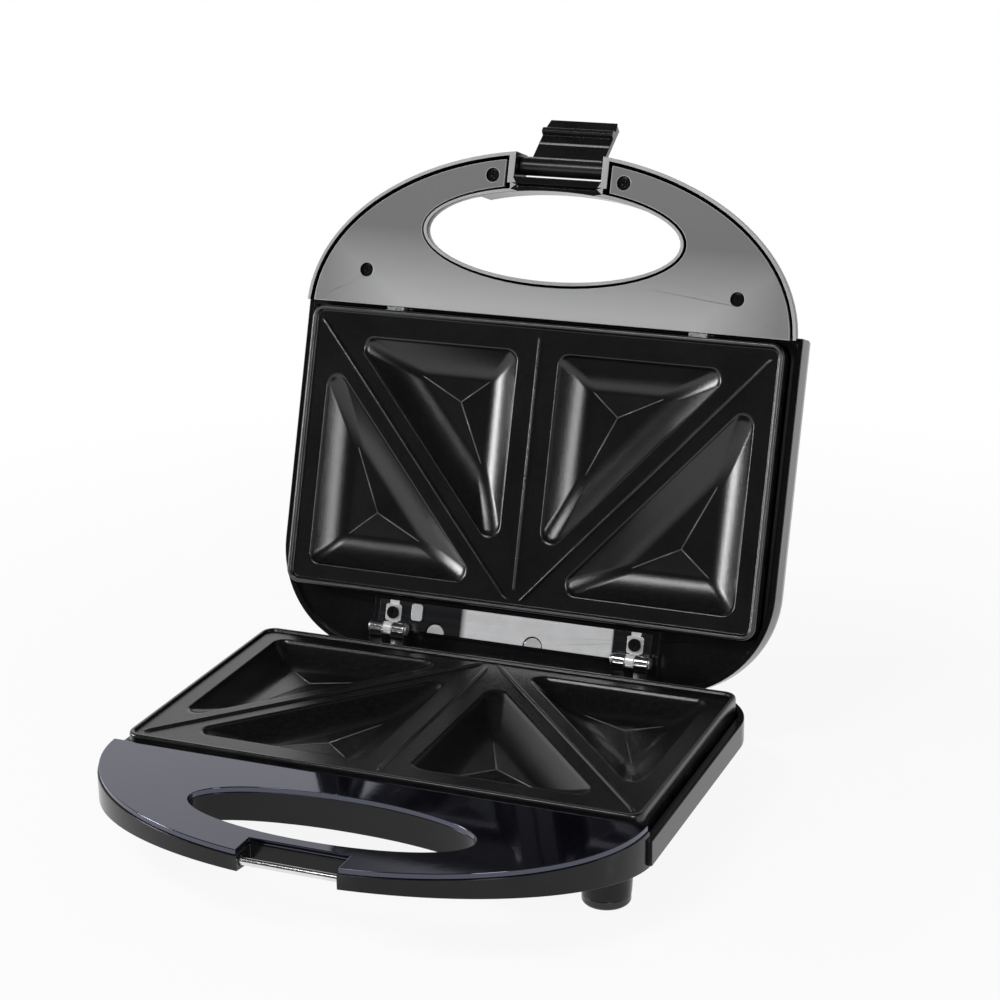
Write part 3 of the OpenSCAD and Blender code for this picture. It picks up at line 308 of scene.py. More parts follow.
def round_edges(piece, width):
    """Breaks a part's edges with a small radius, as a mould or a tumbler does."""
    for face in piece.data.polygons:
        face.use_smooth = True
    weld = piece.modifiers.new("weld", "WELD")
    weld.merge_threshold = weld_gap
    bevel = piece.modifiers.new("broken_edges", "BEVEL")
    bevel.width = width
    bevel.segments = 2
    bevel.limit_method = "ANGLE"
    bevel.angle_limit = sharpest_kept
    bevel.use_clamp_overlap = False
    bevel.face_strength_mode = "FSTR_ALL"
    weighted = piece.modifiers.new("weighted_normals", "WEIGHTED_NORMAL")
    weighted.use_face_influence = True


def dress(names, material, edge=0.0003):
    """Gives CAD nodes their finish and breaks their edges."""
    for name in names:
        node = frame["nodes"][name]
        node.data.materials.clear()
        node.data.materials.append(material)
        round_edges(node, edge)


black_moulding = moulded(
    "black_moulding", (0.003, 0.003, 0.0035), (0.006, 0.006, 0.0065), smooth=0.16, rough=0.18,
    pebbles=1800, clouds=30, flow=0.3, strength=0.04, worn=(0.05, 0.05, 0.053), IOR=1.34)
dress(["lower_housing"], black_moulding)

# ---------------------------------------------------------------------------------------------------
# Feet. Four rubber pads on moulded plugs, pressed into the pan's floor. They are soft and slightly
# shiny, with a rounded sole.
rubber_black = moulded(
    "rubber_black", (0.004, 0.004, 0.0045), (0.008, 0.008, 0.0085), smooth=0.2, rough=0.24,
    pebbles=3200, clouds=60, flow=0.3, strength=0.15, worn=(0.04, 0.04, 0.04))
dress(["front_feet", "rear_feet"], rubber_black, 0.0005)

# ---------------------------------------------------------------------------------------------------
# Cable gland. A rubber sleeve moulded with a flange, pushed through the pan's back wall; the lead
# would leave through its bore.
dress(["cord_gland"], rubber_black, 0.0002)

# ---------------------------------------------------------------------------------------------------
# Reflectors. Shallow trays of aluminised sheet steel under each heater, drawn in a press and held by
# the plate screws. Heat has left them straw and grey.
tray_metal, tree, shader = new_material("tray_metal")
skin = use_group(tree, cast_skin, Pebbles_a_metre=900.0, Clouds_a_metre=22.0, Flow=0.5)
tray_colour = blend_colours(tree, skin["Clouds"], (0.55, 0.55, 0.56), (0.42, 0.36, 0.27))
set_shader(tree, shader, Base_Color=tray_colour, Metallic=0.95,
           Roughness=spread(tree, skin["Clouds"], 0.28, 0.48), Normal=bump(tree, skin["Height"], 0.2))
dress(["lower_reflector", "upper_reflector"], tray_metal, 0.0001)

# ---------------------------------------------------------------------------------------------------
# Heaters. Tubes of stainless steel packed with insulation round a coil, bent in a loop under each
# plate. Their sheaths have gone brown and grey with heat.
element_sheath, tree, shader = new_material("element_sheath")
skin = use_group(tree, cast_skin, Pebbles_a_metre=2600.0, Clouds_a_metre=60.0, Flow=0.3)
sheath_colour = blend_colours(tree, skin["Clouds"], (0.06, 0.05, 0.045), (0.2, 0.16, 0.12))
set_shader(tree, shader, Base_Color=sheath_colour, Metallic=0.7,
           Roughness=spread(tree, skin["Clouds"], 0.4, 0.65), Normal=bump(tree, skin["Height"], 0.3))
dress(["lower_element", "upper_element"], element_sheath, 0.0001)

# ---------------------------------------------------------------------------------------------------
# Terminal block, thermal fuse and thermostat. Moulded glass-filled resin and ceramic bodies, screwed
# or clipped in beside the heaters.
insulator = moulded(
    "insulator", (0.62, 0.58, 0.48), (0.74, 0.7, 0.62), smooth=0.4, rough=0.6,
    pebbles=2200, clouds=80, flow=0.4, strength=0.3, worn=(0.8, 0.78, 0.72))
dress(["terminal_block", "thermal_fuse", "thermostat"], insulator, 0.0002)

# ---------------------------------------------------------------------------------------------------
# Plate screws. Zinc-plated steel with pressed cross recesses, driven up through reflector and housing
# into the plates' cast posts. Plating leaves a faintly mottled, bluish sheen.

# Drawn or rolled metal: fine lines along one direction for the bump and the gloss.
drawn_metal, drawn_in, drawn_out = new_group(
    "drawn_metal", (("Along x", 4.0), ("Along y", 900.0), ("Along z", 900.0), ("Stains a metre", 120.0)),
    ("Lines", "Stains"))
stretch = add_node(drawn_metal, "ShaderNodeCombineXYZ", {
    0: drawn_in.outputs["Along x"], 1: drawn_in.outputs["Along y"], 2: drawn_in.outputs["Along z"]})
drawn_spot = add_node(drawn_metal, "ShaderNodeTexCoord").outputs["Object"]
stretched = add_node(
    drawn_metal, "ShaderNodeVectorMath", {0: drawn_spot, 1: stretch.outputs[0]}, operation="MULTIPLY")
drawn_metal.links.new(noise(drawn_metal, 1, 3, stretched.outputs[0]), drawn_out.inputs["Lines"])
stains = noise(drawn_metal, drawn_in.outputs["Stains a metre"], 4)
drawn_metal.links.new(
    spread(drawn_metal, stains, 0, 1, from_low=0.35, from_high=0.7), drawn_out.inputs["Stains"])
steel_worn_share = 0.5
worn_steel = (0.85, 0.85, 0.86)
line_depth = 0.0001


def steel(name, clean, stained, smooth, rough, strength, metal=1.0, **lines):
    """A metal finish: stains of colour, and fine lines in gloss and bump."""
    made, tree, shader = new_material(name)
    drawn = use_group(tree, drawn_metal, **lines)
    wear = use_group(tree, rubbed_edges, Reach=0.08)["Wear"]
    colour = blend_colours(tree, drawn["Stains"], clean, stained)
    colour = blend_colours(tree, maths(tree, "MULTIPLY", wear, steel_worn_share), colour, worn_steel)
    gloss = spread(tree, drawn["Lines"], smooth, rough, from_low=0.3, from_high=0.7)
    set_shader(tree, shader, Base_Color=colour, Metallic=metal, Roughness=gloss,
               Normal=bump(tree, drawn["Lines"], strength, line_depth))
    return made


zinc_steel = steel("zinc_steel", (0.62, 0.63, 0.66), (0.5, 0.5, 0.48), smooth=0.22, rough=0.4,
                   strength=0.15, Along_x=700.0, Along_y=700.0, Along_z=700.0)
dress(["lower_plate_screws", "upper_plate_screws"], zinc_steel, 0.00015)

# ---------------------------------------------------------------------------------------------------
# Lower plate. Die-cast aluminium with a satin black non-stick coat: a beaded rim, four triangular
# pockets with bowl-shaped walls and creased floors, and crimping ribs. Screws hold it from below.
plate_half_w = 109.0
plate_deep = 125.0
plate_corner = 6.0
plate_corner_steps = 8
least_corner = 0.4
skirt_h = 10.5
face_h = 1.2
bead_top_h = 0.1
plate_t = 2.0
floor_edge_h = 9.2
floor_mid_h = 8.6
floor_drift = 2.3
floor_band = 0.6
wall_run = 14.5
wall_curve = 1.7
pocket_corner = 5.0
corner_steps = 10
rib_foot = Vector((3, 4))
rib_head = Vector((104, 119))
rib_half_w = 0.8
rib_gap = 7
middle_rib_from = 8
rib_slope = (rib_head.y - rib_foot.y) / (rib_head.x - rib_foot.x)
rib_shift = rib_gap * math.hypot(1, rib_slope)


def rib_v(x):
    """How far forward a diagonal rib is, at x."""
    return rib_foot.y + rib_slope * (x - rib_foot.x)


def rib_x(v):
    """How far across a diagonal rib is, at v."""
    return rib_foot.x + (v - rib_foot.y) / rib_slope


inner_front = plate_deep - 12.6
inner_side = 9.4
outer_side = plate_half_w - 10
outer_back = 9.2
inner_pocket = [Vector((inner_side, inner_front)), Vector((inner_side, rib_v(inner_side) + rib_shift)),
                Vector((rib_x(inner_front - rib_shift), inner_front))]
outer_pocket = [Vector((outer_side, outer_back)), Vector((outer_side, rib_v(outer_side) - rib_shift)),
                Vector((rib_x(outer_back + rib_shift), outer_back))]


def incircle(corners):
    """Middle and radius of the circle inside a triangle."""
    sides = [(corners[(i + 1) % 3] - corners[(i + 2) % 3]).length for i in range(3)]
    middle = sum((side * corner for side, corner in zip(sides, corners)), Vector((0, 0))) / sum(sides)
    first, second = corners[1] - corners[0], corners[2] - corners[0]
    return middle, abs(first.x * second.y - first.y * second.x) / sum(sides)


def floor_middle(corners):
    """Where a pocket's three slopes meet: a little nearer its long side than the circle's middle."""
    middle = incircle(corners)[0]
    outward = 1 if middle.x < plate_half_w / 2 else -1
    return middle + Vector((outward * floor_drift, 0))


def pocket_outline(corners):
    """A triangle with rounded corners, as (x, forward) points."""
    points = []
    for i in range(3):
        corner, before, after = corners[i], corners[i - 1], corners[(i + 1) % 3]
        to_before, to_after = (before - corner).normalized(), (after - corner).normalized()
        half = to_before.angle(to_after) / 2
        middle = corner + (to_before + to_after).normalized() * pocket_corner / math.sin(half)
        start = corner + to_before * pocket_corner / math.tan(half) - middle
        turn = (corner + to_after * pocket_corner / math.tan(half) - middle).angle_signed(start)
        for step in range(corner_steps + 1):
            angle = turn * step / corner_steps
            points.append(middle + Matrix.Rotation(angle, 2) @ start)
    return points


def wall_steps(start_in, start_h, end_h, count):
    """A pocket wall's steps, as (distance in from the mouth, depth): a curve that flattens evenly."""
    steps = []
    for step in range(count + 1):
        share = step / count
        steps.append((start_in + (wall_run - start_in) * share,
                      start_h + (end_h - start_h) * (1 - (1 - share) ** wall_curve)))
    return steps


def new_loop(mesh, points, height):
    """A ring of vertices at one height."""
    return [mesh.verts.new((p[0], -p[1], height)) for p in points]


def bridge(mesh, first, second, finish=0):
    """A band of faces between two rings of as many vertices."""
    for i in range(len(first)):
        j = (i + 1) % len(first)
        mesh.faces.new((first[i], first[j], second[j], second[i])).material_index = finish


def sink_pocket(mesh, corners, side, steps, bottom_h):
    """One pocket, from its mouth to the middle of its floor; gives its mouth's ring back."""
    middle, radius = incircle(corners)
    outline = pocket_outline(corners)
    wall_end, wall_end_h = steps[-1]
    slope = (bottom_h - wall_end_h) / (radius - wall_end)
    rings = []
    for inset, height in steps + [(wall_end + floor_band, wall_end_h + floor_band * slope)]:
        drawn = [middle + (p - middle) * (1 - inset / radius) for p in outline]
        rings.append(new_loop(mesh, [(side * p.x, p.y) for p in drawn], height))
    for first, second in zip(rings, rings[1:]):
        bridge(mesh, first, second)
    apex = floor_middle(corners)
    bottom = mesh.verts.new((side * apex.x, -apex.y, bottom_h))
    last = rings[-1]
    for i in range(len(last)):
        mesh.faces.new((last[i], last[(i + 1) % len(last)], bottom))
    for corner in range(3):
        crease = last[corner * (corner_steps + 1) + corner_steps // 2]
        mesh.edges.get((crease, bottom)).smooth = False
    return rings[0]


def plate_outline(inset):
    """The plate's rounded rectangle, drawn in by inset, as (x, forward) points."""
    points = []
    radius = max(plate_corner - inset, least_corner)
    for x, v, start in ((1, 1, 0), (-1, 1, 90), (-1, 0, 180), (1, 0, 270)):
        centre = Vector((x * (plate_half_w - plate_corner), plate_deep - plate_corner if v else plate_corner))
        for step in range(plate_corner_steps + 1):
            angle = math.radians(start + 90 * step / plate_corner_steps)
            points.append(centre + radius * Vector((math.cos(angle), math.sin(angle))))
    return points


def plate_sheet(mesh, profile, pocket_steps, bottom_h):
    """One side of the plate: its rim's profile, its flat face, and its pockets."""
    rim = [new_loop(mesh, plate_outline(inset), height) for inset, height in profile]
    for i in range(1, len(rim)):
        # The bead's crest takes the paler coat: a painted highlight line round the plate.
        crest = profile[i - 1][1] < bead_top_h and profile[i][1] < bead_top_h
        bridge(mesh, rim[i - 1], rim[i], 1 if crest else 0)
    edges = [rim[-1]]
    for corners in (inner_pocket, outer_pocket):
        for side in (1, -1):
            edges.append(sink_pocket(mesh, corners, side, pocket_steps, bottom_h))
    border = []
    for ring in edges:
        for i in range(len(ring)):
            border.append(mesh.edges.get((ring[i], ring[(i + 1) % len(ring)])))
    bmesh.ops.triangle_fill(mesh, use_beauty=True, use_dissolve=False, edges=border, normal=(0, 0, 1))
    return rim[0]


def lay_bar(mesh, points, section, finish=0):
    """A raised bar along points of (x, forward, height, half width, lift), with one section.

    The section holds (share of the half width, share of the lift).
    """
    rings = []
    start, end = Vector(points[0][:2]), Vector(points[-1][:2])
    across = (end - start).normalized().orthogonal()
    for x, v, height, width, lift in points:
        rings.append([
            mesh.verts.new((x + across.x * width * s, -(v + across.y * width * s), height - lift * r))
            for s, r in section])
    for first, second in zip(rings, rings[1:]):
        bridge(mesh, first, second, finish)
    mesh.faces.new(rings[0])
    mesh.faces.new(rings[-1])


rib_section = [(-1.15, -0.25), (-1.1, 0), (-0.9, 0.3), (-0.62, 0.72), (-0.25, 0.96),
               (0.25, 0.96), (0.62, 0.72), (0.9, 0.3), (1.1, 0), (1.15, -0.25)]
crease_section = [(-1, -1.5), (-0.8, 0.3), (-0.3, 0.95), (0.3, 0.95), (0.8, 0.3), (1, -1.5)]


def lay_rib(mesh, start, end):
    """A crimping rib on the plate's face, drawn down at both ends."""
    points = []
    for share, rise in ((0, 0.05), (0.008, 0.6), (0.02, 1), (0.98, 1), (0.992, 0.6), (1, 0.05)):
        place = Vector(start).lerp(Vector(end), share)
        points.append((place.x, place.y, face_h, rib_half_w, rise))
    lay_bar(mesh, points, rib_section)


def lay_creases(mesh, corners, side):
    """Slim raised lines where the three slopes of a pocket's floor meet, in the paler coat: painted highlight
    lines.
    """
    middle, radius = incircle(corners)
    apex = floor_middle(corners)
    for corner in corners:
        reach = middle + (corner - middle) * (1 - wall_run / radius)
        points = []
        for share, width, lift in ((0, 0.34, 0.2), (0.5, 0.34, 0.2), (0.85, 0.3, 0.15), (1, 0.2, 0.02)):
            place = apex.lerp(reach, share)
            height = floor_mid_h + (floor_edge_h - floor_mid_h) * share
            points.append((side * place.x, place.y, height, width, lift))
        lay_bar(mesh, points, crease_section, 1)


def finish_mesh(mesh, name, place, *materials):
    """Turns built faces outwards, puts them in place, and makes the object with its finish."""
    bmesh.ops.recalc_face_normals(mesh, faces=mesh.faces[:])
    bmesh.ops.transform(mesh, matrix=place, verts=mesh.verts[:])
    if place.determinant() < 0:
        bmesh.ops.reverse_faces(mesh, faces=mesh.faces[:])
    data = bpy.data.meshes.new(name)
    mesh.to_mesh(data)
    mesh.free()
    for material in materials:
        data.materials.append(material)
    for face in data.polygons:
        face.use_smooth = True
    piece = bpy.data.objects.new(name, data)
    bpy.context.scene.collection.objects.link(piece)
    return piece


# The rim's bead and the rounded lip of a pocket's mouth, as (distance in, height) from the parting plane.
rim_profile = [(0, skirt_h), (0, 2), (0, 1.15), (0.12, 0.6), (0.4, 0.2), (0.85, 0.04), (1.5, 0.04),
               (1.95, 0.2), (2.25, 0.62), (2.42, 1.0), (2.6, 1.15), (2.8, face_h), (3.2, face_h)]
lip_profile = [(-0.8, face_h), (-0.45, face_h), (-0.05, 1.27), (0.2, 1.45), (0.45, 1.75)]
wall_from = 0.6
wall_from_h = 2.1
top_wall_steps = 18
under_wall_steps = 6


def cast_plate(name, place):
    """A whole cooking plate, in the half frame's millimetres, put in its place."""
    mesh = bmesh.new()
    top = plate_sheet(
        mesh, rim_profile, lip_profile + wall_steps(wall_from, wall_from_h, floor_edge_h, top_wall_steps),
        floor_mid_h)
    under_h = face_h + plate_t
    under = plate_sheet(
        mesh, [(plate_t, skirt_h), (plate_t, under_h)],
        wall_steps(-plate_t, under_h, floor_edge_h + plate_t, under_wall_steps), floor_mid_h + plate_t)
    bridge(mesh, top, under)
    lay_rib(mesh, (0, middle_rib_from), (0, rib_head.y))
    for side in (1, -1):
        lay_rib(mesh, (side * rib_foot.x, rib_foot.y), (side * rib_head.x, rib_head.y))
        lay_creases(mesh, inner_pocket, side)
        lay_creases(mesh, outer_pocket, side)
    return finish_mesh(mesh, name, place, nonstick, coat_painted_highlight)


# Specks: pale grains of filler in a sprayed or baked coat.
coat_specks, specks_in, specks_out = new_group("coat_specks", (("Specks a metre", 5200.0),), ("Specks",))
speck_grains = noise(coat_specks, specks_in.outputs["Specks a metre"], 1)
coat_specks.links.new(
    spread(coat_specks, speck_grains, 0, 1, from_low=0.66, from_high=0.74), specks_out.inputs["Specks"])
speck_grey = (0.05, 0.05, 0.052)
speck_share = 0.1
coat_worn_share = 0.25
coat_dust_grey = (0.3, 0.29, 0.28)


def coat(name, dark, light, rubbed, smooth, rough, shine=0.6):
    """A thin coat, with clouds, specks, dust, and its rubbed colour along edges."""
    made, tree, shader = new_material(name)
    skin = use_group(tree, cast_skin, Pebbles_a_metre=3600.0, Clouds_a_metre=40.0, Flow=0.02)
    wear = use_group(tree, rubbed_edges, Reach=0.05, Patches_a_metre=160.0)["Wear"]
    film = use_group(tree, dust_film, Amount=0.02)["Film"]
    specks = use_group(tree, coat_specks)["Specks"]
    colour = blend_colours(tree, skin["Clouds"], dark, light)
    colour = blend_colours(tree, maths(tree, "MULTIPLY", specks, speck_share), colour, speck_grey)
    colour = blend_colours(tree, maths(tree, "MULTIPLY", wear, coat_worn_share), colour, rubbed)
    colour = blend_colours(tree, film, colour, coat_dust_grey)
    set_shader(tree, shader, Base_Color=colour, Specular_IOR_Level=shine,
               Roughness=spread(tree, skin["Clouds"], smooth, rough), Normal=bump(tree, skin["Height"], 0.2))
    return made


nonstick = coat("nonstick", (0.0015, 0.0015, 0.0018), (0.0035, 0.0035, 0.0038),
                rubbed=(0.12, 0.12, 0.122), smooth=0.205, rough=0.22)
# A paler coat for the bead's crest and the floor creases: painted highlight lines.
coat_painted_highlight = coat("nonstick_painted_highlight", (0.05, 0.05, 0.052), (0.085, 0.085, 0.088),
                   rubbed=(0.22, 0.22, 0.225), smooth=0.2, rough=0.215)

millimetre = Matrix.Scale(0.001, 4)
lower_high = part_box("lower_plate")[1]
half_place = Matrix.Translation((0, lower_high.y, lower_high.z))
half_to_base = half_place @ Matrix.Diagonal((1, 1, -1, 1)) @ millimetre
lower_plate = cast_plate("lower_plate_casting", half_to_base)
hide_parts("lower_plate")
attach(lower_plate, "base")

# ---------------------------------------------------------------------------------------------------
# Lower handle cover. A polished crescent of black ABS, snapped and screwed over the handle's open
# underside, with an oval finger hole and a notch for the catch. Hands have hazed it very slightly.
handle_gloss, tree, gloss_shader = new_material("handle_gloss")
skin = use_group(tree, cast_skin, Pebbles_a_metre=220.0, Clouds_a_metre=38.0, Flow=0.6)
film = use_group(tree, dust_film, Amount=0.012)["Film"]
# The faint blue in the base colour and the blue specular tint are painted reflection: the tint of a bluish
# room.
gloss_colour = blend_colours(tree, skin["Clouds"], (0.0015, 0.0015, 0.003), (0.0022, 0.0022, 0.0042))
gloss_colour = blend_colours(tree, film, gloss_colour, (0.3, 0.3, 0.3))
set_shader(tree, gloss_shader, Base_Color=gloss_colour, Specular_Tint=(0.72, 0.75, 1, 1), IOR=2.0,
           Roughness=spread(tree, skin["Clouds"], 0.045, 0.06), Normal=bump(tree, skin["Height"], 0.03))
dress(["lower_handle_cover"], handle_gloss)

# ---------------------------------------------------------------------------------------------------
# Catch rod. A length of polished steel rod across the notch, pressed into the housing at both ends;
# the latch hooks under it.
polished_steel = steel(
    "polished_steel", (0.8, 0.8, 0.81), (0.7, 0.69, 0.67), smooth=0.1, rough=0.24, strength=0.08)
dress(["catch_rod"], polished_steel, 0.0002)

# ---------------------------------------------------------------------------------------------------
# Cover screws. Black-oxide steel screws with cross recesses, down in round wells in the covers.
dark_steel = coat("dark_steel", (0.0015, 0.0015, 0.0017), (0.003, 0.003, 0.0032),
                  rubbed=(0.012, 0.012, 0.012), smooth=0.26, rough=0.3, shine=0.15)
dress(["lower_cover_screws", "cover_screws", "strap_screws"], dark_steel, 0.00012)

# ---------------------------------------------------------------------------------------------------
# Hinge brackets, pins and screws. Stamped and rolled bright steel on the base's back edge; the pins
# run in the knuckles.
dress(["hinge_brackets"], polished_steel, 0.00015)
dress(["hinge_pins", "bracket_screws"], zinc_steel, 0.00012)

# ---------------------------------------------------------------------------------------------------
# Upper housing. The lid's shell, of the same glossy black ABS, domed at the top and moulded with its
# own crescent handle. Its rim's faces take a light grey satin finish, a painted highlight that shows
# as a thin pale line round the grey cover; the bridge under the latch stays black.


def find_joint(name):
    """A joint of the frame, by its name."""
    return [joint for joint in frame["joints"] if joint["name"] == name][0]


lid_joint = find_joint("lid_hinge")
lid_axis = Vector(lid_joint["pos_m"])
lid_open = math.radians(lid_joint["range_deg"][1])
lid_swing = Matrix.Translation(lid_axis) @ Matrix.Rotation(-lid_open, 4, "X") @ Matrix.Translation(-lid_axis)
half_to_lid = lid_swing @ half_place @ millimetre
lid_to_half = half_to_lid.inverted()
rim_h = 1.4
handle_from = -plate_deep - 1
rim_reach = 0.05
bridge_half = 19.6
bridge_from = -160
# Light grey satin on the black rim's faces: a painted highlight.
rim_painted_highlight = moulded(
    "rim_painted_highlight", (0.3, 0.3, 0.305), (0.36, 0.36, 0.365), smooth=0.3, rough=0.4,
    pebbles=2200, clouds=40, flow=0.3, strength=0.1, worn=(0.5, 0.5, 0.5))


def paint_faces(piece, material, chosen):
    """Gives a second finish to the faces whose middle, in the half frame, is chosen."""
    piece.data.materials.append(material)
    last = len(piece.data.materials) - 1
    for face in piece.data.polygons:
        if chosen(lid_to_half @ face.center):
            face.material_index = last


def on_painted_highlight_rim(middle):
    """The lid handle's rim, which takes the painted highlight, apart from the bridge under the latch, which
    stays black.
    """
    on_rim = abs(middle.z - rim_h) < rim_reach and middle.y < handle_from
    on_bridge = abs(middle.x) < bridge_half and middle.y < bridge_from
    return on_rim and not on_bridge


dress(["upper_housing"], black_moulding)
paint_faces(frame["nodes"]["upper_housing"], rim_painted_highlight, on_painted_highlight_rim)

# ---------------------------------------------------------------------------------------------------
# Upper plate and tabs. The lower plate's twin, screwed into the lid; open, its pockets face the
# cook. Small zinc-plated steel tabs reach over its front edge.
upper_plate = cast_plate("upper_plate_casting", half_to_lid)
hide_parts("upper_plate")
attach(upper_plate, "lid")
dress(["plate_tabs"], zinc_steel, 0.0001)

# ---------------------------------------------------------------------------------------------------
# Hinge strap and ledge. A polished strip of steel with rolled knuckles, screwed to a black moulded
# ledge that closes the lid behind its plate.
dress(["rear_ledge"], black_moulding, 0.0002)
reflection_from = (-0.0245, -0.0215)
reflection_to = (0.0455, 0.0465)
knuckle_x = 0.0565
knuckle_half = 0.0022


def strap_finish():
    """Steel whose colour holds painted reflection: pale along one stretch and at its knuckles, near-black
    elsewhere.
    """
    made, tree, shader = new_material("strap_steel_painted_reflection")
    drawn = use_group(tree, drawn_metal, Along_x=14.0, Along_y=500.0, Along_z=500.0)
    along = add_node(tree, "ShaderNodeSeparateXYZ", {
        0: add_node(tree, "ShaderNodeTexCoord").outputs["Object"]}).outputs["X"]
    # Painted reflection: pale along one stretch and at the knuckles as a bright reflection, near-black
    # elsewhere as a dark one.
    reflected_stretch = maths(tree, "MULTIPLY", spread(tree, along, 0, 1, *reflection_from), spread(tree, along, 1, 0, *reflection_to))
    knuckle = add_node(tree, "ShaderNodeMath", {
        0: maths(tree, "ABSOLUTE", along), 1: knuckle_x, 2: knuckle_half}, operation="COMPARE")
    painted_reflection = maths(tree, "MAXIMUM", reflected_stretch, knuckle.outputs[0])
    steel_colour = blend_colours(tree, drawn["Stains"], (0.76, 0.76, 0.77), (0.68, 0.68, 0.68))
    set_shader(tree, shader, Base_Color=blend_colours(tree, painted_reflection, (0.006, 0.006, 0.007), steel_colour),
               Metallic=maths(tree, "MULTIPLY", painted_reflection, 0.35),
               Roughness=spread(tree, drawn["Lines"], 0.22, 0.3, from_low=0.3, from_high=0.7),
               Normal=bump(tree, drawn["Lines"], 0.03, line_depth))
    return made


# Pale, half-metallic steel for the small plates on the strap: its diffuse paleness stands in for a bright
# reflection.
bright_steel = steel("bright_steel", (0.8, 0.8, 0.81), (0.72, 0.72, 0.71), smooth=0.2, rough=0.28,
                     strength=0.03, metal=0.55, Along_x=14.0, Along_y=700.0, Along_z=700.0)


def small_plate(name, outline, h, thick):
    """A small stamped piece of sheet on the strap, from its outline in the half frame."""
    mesh = bmesh.new()
    near = [mesh.verts.new((x, y, h)) for x, y in outline]
    far = [mesh.verts.new((x, y, h + thick)) for x, y in outline]
    bridge(mesh, near, far)
    mesh.faces.new(near)
    mesh.faces.new(far)
    piece = finish_mesh(mesh, name, half_to_lid, bright_steel)
    round_edges(piece, 0.0001)
    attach(piece, "lid")


def rectangle(left, right, back, front, corner):
    """A rectangle with clipped corners."""
    return [(left + corner, back), (right - corner, back), (right, back + corner), (right, front - corner),
            (right - corner, front), (left + corner, front), (left, front - corner), (left, back + corner)]


dress(["hinge_strap"], strap_finish(), 0.00015)
strap_face_h = 4.59
strap_end = 15.0
hinge_x = 56.5
strap_screw_y = 8.0
washer_half = 3.7
lance_r = 4
lance_steps = 16
for side, label in ((-1, "left"), (1, "right")):
    middle = side * hinge_x
    square = rectangle(middle - washer_half, middle + washer_half,
                       strap_screw_y - washer_half, strap_screw_y + washer_half, corner=0.6)
    small_plate(label + "_strap_washer", square, h=strap_face_h - 0.5, thick=0.45)
tongue = rectangle(left=-47.9, right=-42.7, back=3, front=10.4, corner=0.8)
small_plate("strap_tongue", tongue, h=strap_face_h - 0.6, thick=0.55)
for label, x in (("left", -36.0), ("right", 10.0)):
    half_round = [(x + lance_r * math.cos(angle), strap_end - lance_r * math.sin(angle))
                  for angle in (math.pi * step / lance_steps for step in range(lance_steps + 1))]
    small_plate(label + "_strap_lance", half_round, h=strap_face_h + 0.3, thick=0.8)

# ---------------------------------------------------------------------------------------------------
# Upper handle cover. A crescent of satin grey plastic, let into the lid's rim behind a black groove.
# Its colour holds painted shade: darker towards the handle's outer edge and its two ends, lighter
# near the bottom middle. The screw wells are black inside: painted shade in these recesses.
cover_grey, tree, grey_shader = new_material("cover_grey")
skin = use_group(tree, cast_skin, Pebbles_a_metre=2400.0, Clouds_a_metre=16.0, Flow=0.2)
cover_foot = half_to_lid @ Vector((0, handle_from, rim_h))
cover_up = half_to_lid.to_3x3() @ Vector((0, -1000, 0))
cover_spot = add_node(tree, "ShaderNodeTexCoord").outputs["Object"]
from_foot = add_node(
    tree, "ShaderNodeVectorMath", {0: cover_spot, 1: cover_foot}, operation="SUBTRACT").outputs[0]
height = add_node(
    tree, "ShaderNodeVectorMath", {0: from_foot, 1: cover_up}, operation="DOT_PRODUCT").outputs["Value"]
across = maths(tree, "ABSOLUTE", add_node(tree, "ShaderNodeSeparateXYZ", {0: cover_spot}).outputs["X"])
# Painted shade: the grey darkens towards the handle's top edge and towards its ends.
upper_painted_shade = spread(tree, height, 0, 1, from_low=0.004, from_high=0.036)
side_painted_shade = spread(tree, across, 0, 0.8, from_low=0.068, from_high=0.105)
painted_shade = maths(tree, "MAXIMUM", upper_painted_shade, side_painted_shade)
painted_shade = maths(tree, "ADD", painted_shade, spread(tree, skin["Clouds"], -0.01, 0.01))
grey_colour = blend_colours(tree, painted_shade, (0.43, 0.428, 0.432), (0.17, 0.169, 0.172))
set_shader(tree, grey_shader, Base_Color=grey_colour, Metallic=0.3, Specular_IOR_Level=0.5,
           Roughness=spread(tree, skin["Clouds"], 0.336, 0.344), Normal=bump(tree, skin["Height"], 0.04))
dress(["upper_handle_cover"], cover_grey)
grey_cover = frame["nodes"]["upper_handle_cover"]
grey_cover.modifiers.remove(grey_cover.modifiers["weighted_normals"])
cover_top_h = min((lid_to_half @ vertex.co).z for vertex in grey_cover.data.vertices)
for face in grey_cover.data.polygons:
    if (lid_to_half @ face.center).z < cover_top_h + rim_reach:
        face.use_smooth = False
screw_wells = [Vector((side * x, -v)) for side in (1, -1) for x, v in ((30.2, 187.5), (85.7, 142))]
well_r = 3.3
well_h = rim_h + 0.9


def in_screw_well(middle):
    """The wells' walls and floors, below the cover's face."""
    return middle.z > well_h and min((middle.xy - well).length for well in screw_wells) < well_r


# The wells' walls and floors take the black moulding: painted shade in these recesses.
paint_faces(grey_cover, black_moulding, in_screw_well)
# The cover's bevelled edges take the light grey finish too: painted highlight hairlines.
grey_cover.data.materials.append(rim_painted_highlight)
grey_cover.modifiers["broken_edges"].material = len(grey_cover.data.materials) - 1

# ---------------------------------------------------------------------------------------------------
# Indicator lenses and lamps. Clear red and green polycarbonate caps in the lid's top, over two small
# neon lamps in glass.
haze = 0.08


